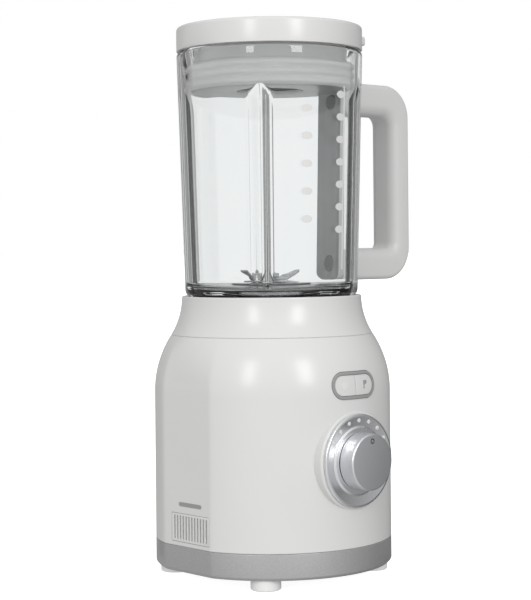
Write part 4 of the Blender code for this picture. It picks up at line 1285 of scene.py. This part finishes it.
    def handle(self) -> None:
        """The handle: a rounded bail with soft edges and a grip opening."""
        root, outer, low, high, half = 60 * MM, 143.8 * MM, 223.2 * MM, 381.3 * MM, 14.2 * MM
        grip, grip_low, grip_high = 124 * MM, 248.5 * MM, 356 * MM
        corners = [
            (root, low, 0.0), (outer, low, 26 * MM), (outer, high, 26 * MM), (root, high, 0.0),
            (root, grip_high, 0.0), (grip, grip_high, 8 * MM), (grip, grip_low, 5 * MM),
            (root, grip_low, 0.0),
        ]
        bail = slab("handle_bail", rounded(corners, 14), -half, half)
        near = TINY * 10

        def on_face(places: list[Vector]) -> bool:
            """Whether an edge lies on one of the two flat faces, past the root."""
            same_side = places[0].y * places[1].y > 0.0
            past_root = max(spot.x for spot in places) > root + MM
            return same_side and past_root and all(abs(spot.y) > half - near for spot in places)

        def round_grip(places: list[Vector]) -> bool:
            """Whether an edge runs round the grip opening."""
            inside = [s.x < grip + near and grip_low - near < s.z < grip_high + near for s in places]
            return on_face(places) and all(inside)

        def round_back(places: list[Vector]) -> bool:
            """Whether an edge runs round the outside of the handle."""
            return on_face(places) and not round_grip(places)

        with editing(bail):
            pick(bail, Element.EDGE, round_back)
            bpy.ops.mesh.bevel(offset=4 * MM, segments=6, affect="EDGES")
            pick(bail, Element.EDGE, round_grip)
            bpy.ops.mesh.bevel(offset=9 * MM, segments=9, affect="EDGES")
            tidy_normals()
        root_end = [(76.8 * MM, 200 * MM), (150 * MM, 200 * MM), (150 * MM, 400 * MM), (76.8 * MM, 400 * MM)]
        meet(bail, slab("past_the_spine", root_end, -20 * MM, 20 * MM), Joining.CROP)
        settle(bail, WHITE_ABS_SATIN, "jar", "white_housing", "jar_handle")

    def screws(self) -> None:
        """The two screws that hold the handle, their heads against the glass."""
        for name, height in self.screw_heights.items():
            face = self.radius_at(height) + 0.9 * MM
            corners = [
                (0.0, face, 0.0), (self.screw_head, face, 0.6 * MM),
                (self.screw_head, face + 2.1 * MM, 0.2 * MM), (2 * MM, face + 2.1 * MM, 0.0),
                (2 * MM, 92 * MM, 0.5 * MM), (0.0, 92 * MM, 0.0),
            ]
            screw = lathe(f"grip_screw_{name}", rounded(corners), 40)
            aim(screw, (0.0, 90.0, 0.0), (0.0, 0.0, height))
            settle(screw, DARK_NYLON, "jar", "black_plastic", f"handle_screw_{name}")


# ---------------------------------------------------------------- blades


@dataclass
class BladeUnit:
    """The pressed housing on the jar's floor and the two blades above it."""

    reach: float = 29.0 * MM
    thickness: float = 1.4 * MM
    bore: float = 3.3 * MM
    nut_size: float = 11.0 * MM

    def build(self) -> None:
        """Builds the blade unit."""
        corners = [
            (7.3 * MM, 208 * MM, 0.0), (7.3 * MM, 222.5 * MM, 0.3 * MM), (11 * MM, 222.5 * MM, 0.5 * MM),
            (13 * MM, 221.1 * MM, 0.4 * MM), (31 * MM, 221.1 * MM, 0.5 * MM), (31 * MM, 219.1 * MM, 0.3 * MM),
            (25.4 * MM, 219.1 * MM, 0.0), (25.4 * MM, 206 * MM, 0.4 * MM), (22.5 * MM, 206 * MM, 0.4 * MM),
            (22.5 * MM, 217 * MM, 0.0), (11 * MM, 217 * MM, 0.0), (11 * MM, 208 * MM, 0.4 * MM),
        ]
        settle(lathe("blade_seat", rounded(corners), 96), STEEL, "jar", "bright_steel", "blade_housing")
        self.blade("lower_knife", "lower_blade", 223.1 * MM, -0.9 * MM, 90.0)
        self.blade("upper_knife", "upper_blade", 224.8 * MM, 7.5 * MM, 0.0)
        self.nut()

    def blade(self, name: str, node: str, height: float, lift: float, turn: float) -> None:
        """A two-armed knife, its arms bent between the hub and the tips.

        Args:
            name: Name of the piece.
            node: The CAD node that it replaces.
            height: Its underside at the hub.
            lift: How far the tips stand above the hub.
            turn: Its angle about the drive axis, in degrees.
        """
        half = [(29.0, -3.0), (29.0, 1.2), (27.4, 3.0), (18.0, 6.0), (9.9, 8.0)]
        outline = [(x * MM, z * MM) for x, z in half]
        outline += [(-x * MM, z * MM) for x, z in reversed(half)]
        under = [(-18.0, -6.0), (-9.9, -8.0), (9.9, -8.0), (18.0, -6.0)]
        outline += [(x * MM, z * MM) for x, z in under]
        knife = aim(slab(name, outline, 0.0, self.thickness), (90.0, 0.0, 0.0), (0.0, 0.0, height))
        stations = [9.9 * MM + step * 3.2 * MM for step in range(6)]
        with editing(knife):
            for station in [side * station for station in stations for side in (-1, 1)]:
                bpy.ops.mesh.select_all(action="SELECT")
                bpy.ops.mesh.bisect(plane_co=(station, 0.0, 0.0), plane_no=(1.0, 0.0, 0.0))
            tidy_normals()
            for near, far in zip(stations, stations[1:] + [self.reach]):
                pick(knife, Element.VERTEX, lambda places: abs(places[0].x) > near + TINY * 10)
                rise = lift * (far - near) / (self.reach - stations[0])
                bpy.ops.transform.translate(value=(0.0, 0.0, rise))
        meet(knife, rod("knife_hole", self.bore, height - 5 * MM, height + 6 * MM, 32), Joining.CUT)
        ease(knife, 0.3 * MM, 2, 50.0)
        settle(aim(knife, (0.0, 0.0, turn)), STEEL, "blades", "bright_steel", node)

    def nut(self) -> None:
        """The nut that holds the blades, its corners eased."""
        corners = arc((0.0, 0.0), self.nut_size / 2 / math.cos(math.pi / 6), 0.0, 300.0, 5)
        nut = aim(slab("knife_nut", corners, 0.0, 4.5 * MM), (90.0, 0.0, 0.0), (0.0, 0.0, 226.5 * MM))
        meet(nut, rod("nut_hole", self.bore, 220 * MM, 235 * MM, 32), Joining.CUT)
        ease(nut, 0.5 * MM, 2, 50.0)
        settle(nut, STEEL, "blades", "bright_steel", "blade_nut")


# ---------------------------------------------------------------- lid


@dataclass
class Lid:
    """Cover with its thumb tab, plug, gasket and measuring cap."""

    radius: float = 72.0 * MM
    bottom: float = 401.5 * MM
    top: float = 420.0 * MM
    plug_radius: float = 60.0 * MM
    plug_bottom: float = 371.0 * MM
    gasket_top: float = 391.0 * MM
    gasket_radius: float = 65.7 * MM
    cap_radius: float = 25.4 * MM
    flange: float = 30.1 * MM
    tab_reach: float = 97.0 * MM
    sides: int = 144

    def build(self) -> None:
        """Builds the lid and the cap."""
        self.cover()
        self.plug()
        self.gasket()
        self.cap()

    def cover(self) -> None:
        """The cover: a flat top with a soft edge, the recess for the cap, and the thumb tab."""
        seat, bore = self.flange + 0.4 * MM, self.cap_radius + 0.6 * MM
        corners = [
            (self.radius - 3 * MM, self.bottom, 0.3 * MM), (self.radius, self.bottom, 0.5 * MM),
            (self.radius, self.top, 2.5 * MM), (seat, self.top, 0.5 * MM), (seat, 416.6 * MM, 0.0),
            (bore, 416.6 * MM, 0.3 * MM), (bore, 413 * MM, 0.0), (34 * MM, 413 * MM, 0.0),
            (34 * MM, 416.5 * MM, 0.0), (self.radius - 3 * MM, 416.5 * MM, 1.0 * MM),
        ]
        cover = lathe("lid_disc", rounded(corners, 6), self.sides)
        half = 10 * MM
        outline = rounded([
            (half, self.top, 1.8 * MM), (-half, self.top, 1.8 * MM), (-half, 412.5 * MM, 1.8 * MM),
            (half, 412.5 * MM, 1.8 * MM),
        ], 4)
        tab = aim(slab("thumb_tab", outline, -self.tab_reach, -70 * MM), (0.0, 0.0, 90.0))
        ease(tab, 1.2 * MM, 3, 60.0)
        meet(cover, tab, Joining.ADD)
        settle(cover, WHITE_ABS, "lid", "white_housing", "lid_cover")

    def plug(self) -> None:
        """The plug under the cover, which the gasket is drawn over; its underside carries painted shade, a
        darker grey.
        """
        bore, low, wall = self.cap_radius + 0.6 * MM, self.plug_bottom, self.plug_radius - 2.6 * MM
        corners = [
            (bore, low, 0.4 * MM), (self.plug_radius, low, 1.0 * MM), (self.plug_radius, 416.2 * MM, 0.0),
            (wall, 416.2 * MM, 0.0), (wall, low + 2.5 * MM, 0.8 * MM), (bore, low + 2.5 * MM, 0.4 * MM),
        ]
        bung = lathe("lid_bung", rounded(corners), self.sides)
        settle(bung, WHITE_ABS, "lid", "white_housing", "lid_plug")
        # Painted shade: the downward faces at the plug's foot get a darker grey that stands in for the shade
        # under the lid.
        bung.data.materials.append(PAINTED_SHADE_UNDERSIDE.make())
        for face in bung.data.polygons:
            if face.normal.z < -0.7 and face.center.z < low + 1 * MM:
                face.material_index = 1

    def gasket(self) -> None:
        """The sleeve with three soft sealing ribs."""
        inner, pitch = self.plug_radius + 0.3 * MM, (self.gasket_top - self.plug_bottom) / 3
        corners: list[Corner] = [(inner, self.plug_bottom, 0.0)]
        for i in range(3):
            low = self.plug_bottom + i * pitch
            corners += [
                (self.gasket_radius - 2 * MM, low + 0.02 * pitch, 0.5 * MM),
                (self.gasket_radius, low + 0.3 * pitch, 0.9 * MM),
                (self.gasket_radius, low + 0.65 * pitch, 0.9 * MM),
                (self.gasket_radius - 2 * MM, low + 0.94 * pitch, 0.3 * MM),
            ]
        corners.append((inner, self.gasket_top, 0.0))
        sleeve = lathe("seal_sleeve", rounded(corners, 4), self.sides)
        settle(sleeve, GASKET, "lid", "white_silicone", "lid_gasket")

    def cap(self) -> None:
        """The measuring cap: a flanged cup set in the cover, its top slightly dished."""
        wall, under = self.cap_radius - 2.2 * MM, 416.9 * MM
        corners = [
            (0.0, self.top - 0.8 * MM, 0.0), (20 * MM, self.top - 0.6 * MM, 6 * MM),
            (25 * MM, self.top, 4 * MM), (self.flange, self.top, 0.8 * MM),
            (self.flange, under, 0.3 * MM), (self.cap_radius, under, 0.3 * MM),
            (self.cap_radius, 376 * MM, 0.5 * MM), (wall, 376 * MM, 0.5 * MM),
            (wall, under, 1.5 * MM), (0.0, under, 0.0),
        ]
        settle(lathe("cup_cap", rounded(corners), 96), WHITE_ABS, "cap", "white_housing", "measuring_cap")


# ---------------------------------------------------------------- studio


@dataclass
class Studio:
    """Pale floor, soft light, grey screens and the camera."""

    azimuth: float = -42.5
    distance: float = 1.304
    height: float = 0.251
    focal: float = 100.8
    shift: Point = (-0.0093, -0.09)
    roll: float = 0.0096
    wall_light: float = 0.87
    shade_right: Point = (130.0, 0.72)
    shade_left: Point = (-110.0, 0.33)
    sky_light: float = 0.2
    glow: float = 0.93
    floor_glow: float = 0.7
    light_distance: float = 1.9
    light_height: float = 0.95
    screen_distance: float = 1.1
    screen_height: float = 0.45

    def toward(self, azimuth: float, distance: float, height: float) -> Vector:
        """A place round the drive axis; azimuth 0 is the front, and a negative one is to the left."""
        turn = math.radians(azimuth)
        return AXIS + Vector((distance * math.sin(turn), -distance * math.cos(turn), height))

    def build(self) -> None:
        """Sets the room up."""
        bpy.context.scene.view_settings.view_transform = "Standard"
        self.world()
        self.floor()
        self.lights()
        self.flags()
        self.camera()

    def world(self) -> None:
        """A white room, darker towards its two sides; what is seen through the glass is evenly bright."""
        world = bpy.data.worlds.new("white_room")
        world.use_nodes = True
        tree = world.node_tree
        tree.nodes.clear()
        ray = add_node(tree, "ShaderNodeLightPath")
        way = add_node(tree, "ShaderNodeTexCoord").outputs["Generated"]
        level = self.wall_light
        for offset, loss in (self.shade_right, self.shade_left):
            away = self.toward(self.azimuth + offset, 1.0, 0.0) - AXIS
            facing = add_node(tree, "ShaderNodeVectorMath", {0: way, 1: tuple(away)}, operation="DOT_PRODUCT")
            part = add_node(tree, "ShaderNodeMath", {0: facing.outputs["Value"], 1: 0.0}, operation="MAXIMUM")
            drop = add_node(tree, "ShaderNodeMath", {0: part.outputs[0], 1: -loss, 2: level},
                            operation="MULTIPLY_ADD")
            level = drop.outputs[0]
        height = add_node(tree, "ShaderNodeSeparateXYZ", {0: way}).outputs[2]
        walls = add_node(tree, "ShaderNodeMath", {0: height, 1: self.sky_light, 2: level},
                         operation="MULTIPLY_ADD")
        beyond = add_node(tree, "ShaderNodeMix", {
            0: ray.outputs["Is Transmission Ray"], 2: walls.outputs[0], 3: self.glow,
        })
        seen = add_node(tree, "ShaderNodeMix", {
            0: ray.outputs["Is Camera Ray"], 2: beyond.outputs[0], 3: 1.0,
        })
        light = add_node(tree, "ShaderNodeBackground", {
            "Color": linear("#FFFFFF"), "Strength": seen.outputs[0],
        })
        add_node(tree, "ShaderNodeOutputWorld", {"Surface": light.outputs[0]})
        bpy.context.scene.world = world

    def floor(self) -> None:
        """A broad light table: matt white, faintly lit from below, so that only a soft shadow shows."""
        bpy.ops.object.select_all(action="DESELECT")
        bpy.ops.mesh.primitive_plane_add(size=90.0, location=(AXIS.x, AXIS.y, 0.0))
        floor = bpy.context.active_object
        floor.name = "table_top"
        acrylic = Moulded("white_acrylic_matt", "#F8F8F8", "#F6F6F6", 0.9, grain=2 * MM, depth=0.01 * MM)
        surface = acrylic.make()
        shader = next(node for node in surface.node_tree.nodes if node.type == "BSDF_PRINCIPLED")
        shader.inputs["Specular IOR Level"].default_value = 0.0
        shader.inputs["Emission Color"].default_value = linear("#FFFFFF")
        shader.inputs["Emission Strength"].default_value = self.floor_glow
        floor.data.materials.append(surface)
        floor.visible_diffuse = False
        floor.visible_glossy = False
        floor.visible_transmission = False

    def light(self, name: str, azimuth: float, size: Point, power: float) -> None:
        """Hangs a soft box that faces the jar.

        Args:
            name: Its name.
            azimuth: Where it is, round the drive axis.
            size: Its width and height.
            power: Its power in watts.
        """
        lamp = bpy.data.lights.new(name, "AREA")
        lamp.shape = "RECTANGLE"
        lamp.size, lamp.size_y = size
        lamp.energy = power
        holder = bpy.data.objects.new(name, lamp)
        bpy.context.scene.collection.objects.link(holder)
        holder.location = self.toward(azimuth, self.light_distance, self.light_height)
        aim_at = AXIS + Vector((0.0, 0.0, 0.2))
        holder.rotation_euler = (aim_at - holder.location).to_track_quat("-Z", "Y").to_euler()
        holder.visible_transmission = False

    def lights(self) -> None:
        """Two soft boxes either side of the camera."""
        self.light("soft_box_left", self.azimuth - 23.0, (0.34, 0.9), 6.5)
        self.light("soft_box_right", self.azimuth + 33.0, (0.46, 0.9), 9.0)

    def flags(self) -> None:
        """Grey screens behind the object that draw the edges of the glass."""
        self.screen("screen_left", -135.0, 0.5, glossy=True)
        self.screen("screen_right", 135.0, 0.5, glossy=True)
        self.screen("screen_behind", -158.0, 0.3, glossy=False)

    def screen(self, name: str, offset: float, width: float, glossy: bool) -> None:
        """Stands one screen up.

        Args:
            name: Its name.
            offset: Its azimuth from the camera's.
            width: Its width.
            glossy: Whether reflections see it too, and not only the glass.
        """
        bpy.ops.object.select_all(action="DESELECT")
        place = self.toward(self.azimuth + offset, self.screen_distance, self.screen_height)
        bpy.ops.mesh.primitive_plane_add(size=1.0, location=place)
        screen = bpy.context.active_object
        screen.name = name
        screen.scale = (width, 1.3, 1.0)
        facing = (AXIS + Vector((0.0, 0.0, 0.3)) - place).normalized()
        screen.rotation_euler = facing.to_track_quat("Z", "Y").to_euler()
        felt = Moulded("grey_felt_screen", "#A0A0A0", "#989898", 0.9, grain=4 * MM)
        screen.data.materials.append(felt.make())
        screen.visible_camera = False
        screen.visible_diffuse = False
        screen.visible_shadow = False
        screen.visible_glossy = glossy

    def camera(self) -> None:
        """The camera, level and a little rolled, as high as the jar's floor."""
        data = bpy.data.cameras.new("studio_camera")
        data.lens = self.focal
        data.sensor_width = 36.0
        data.shift_x, data.shift_y = self.shift
        data.clip_start = 0.05
        data.clip_end = 50.0
        camera = bpy.data.objects.new("studio_camera", data)
        bpy.context.scene.collection.objects.link(camera)
        camera.location = self.toward(self.azimuth, self.distance, self.height)
        camera.rotation_euler = (math.pi / 2, self.roll, math.radians(self.azimuth))
        bpy.context.scene.camera = camera


def main() -> None:
    """Builds the sub-assemblies in order."""
    logging.basicConfig(level=logging.INFO, format="%(message)s")
    Studio().build()
    form = BaseForm()
    for assembly in (BaseShell(form), Controls(form), Jar(), BladeUnit(), Lid()):
        LOG.info("building %s", type(assembly).__name__)
        assembly.build()
    dress_kept_nodes()


if __name__ == "__main__":
    main()
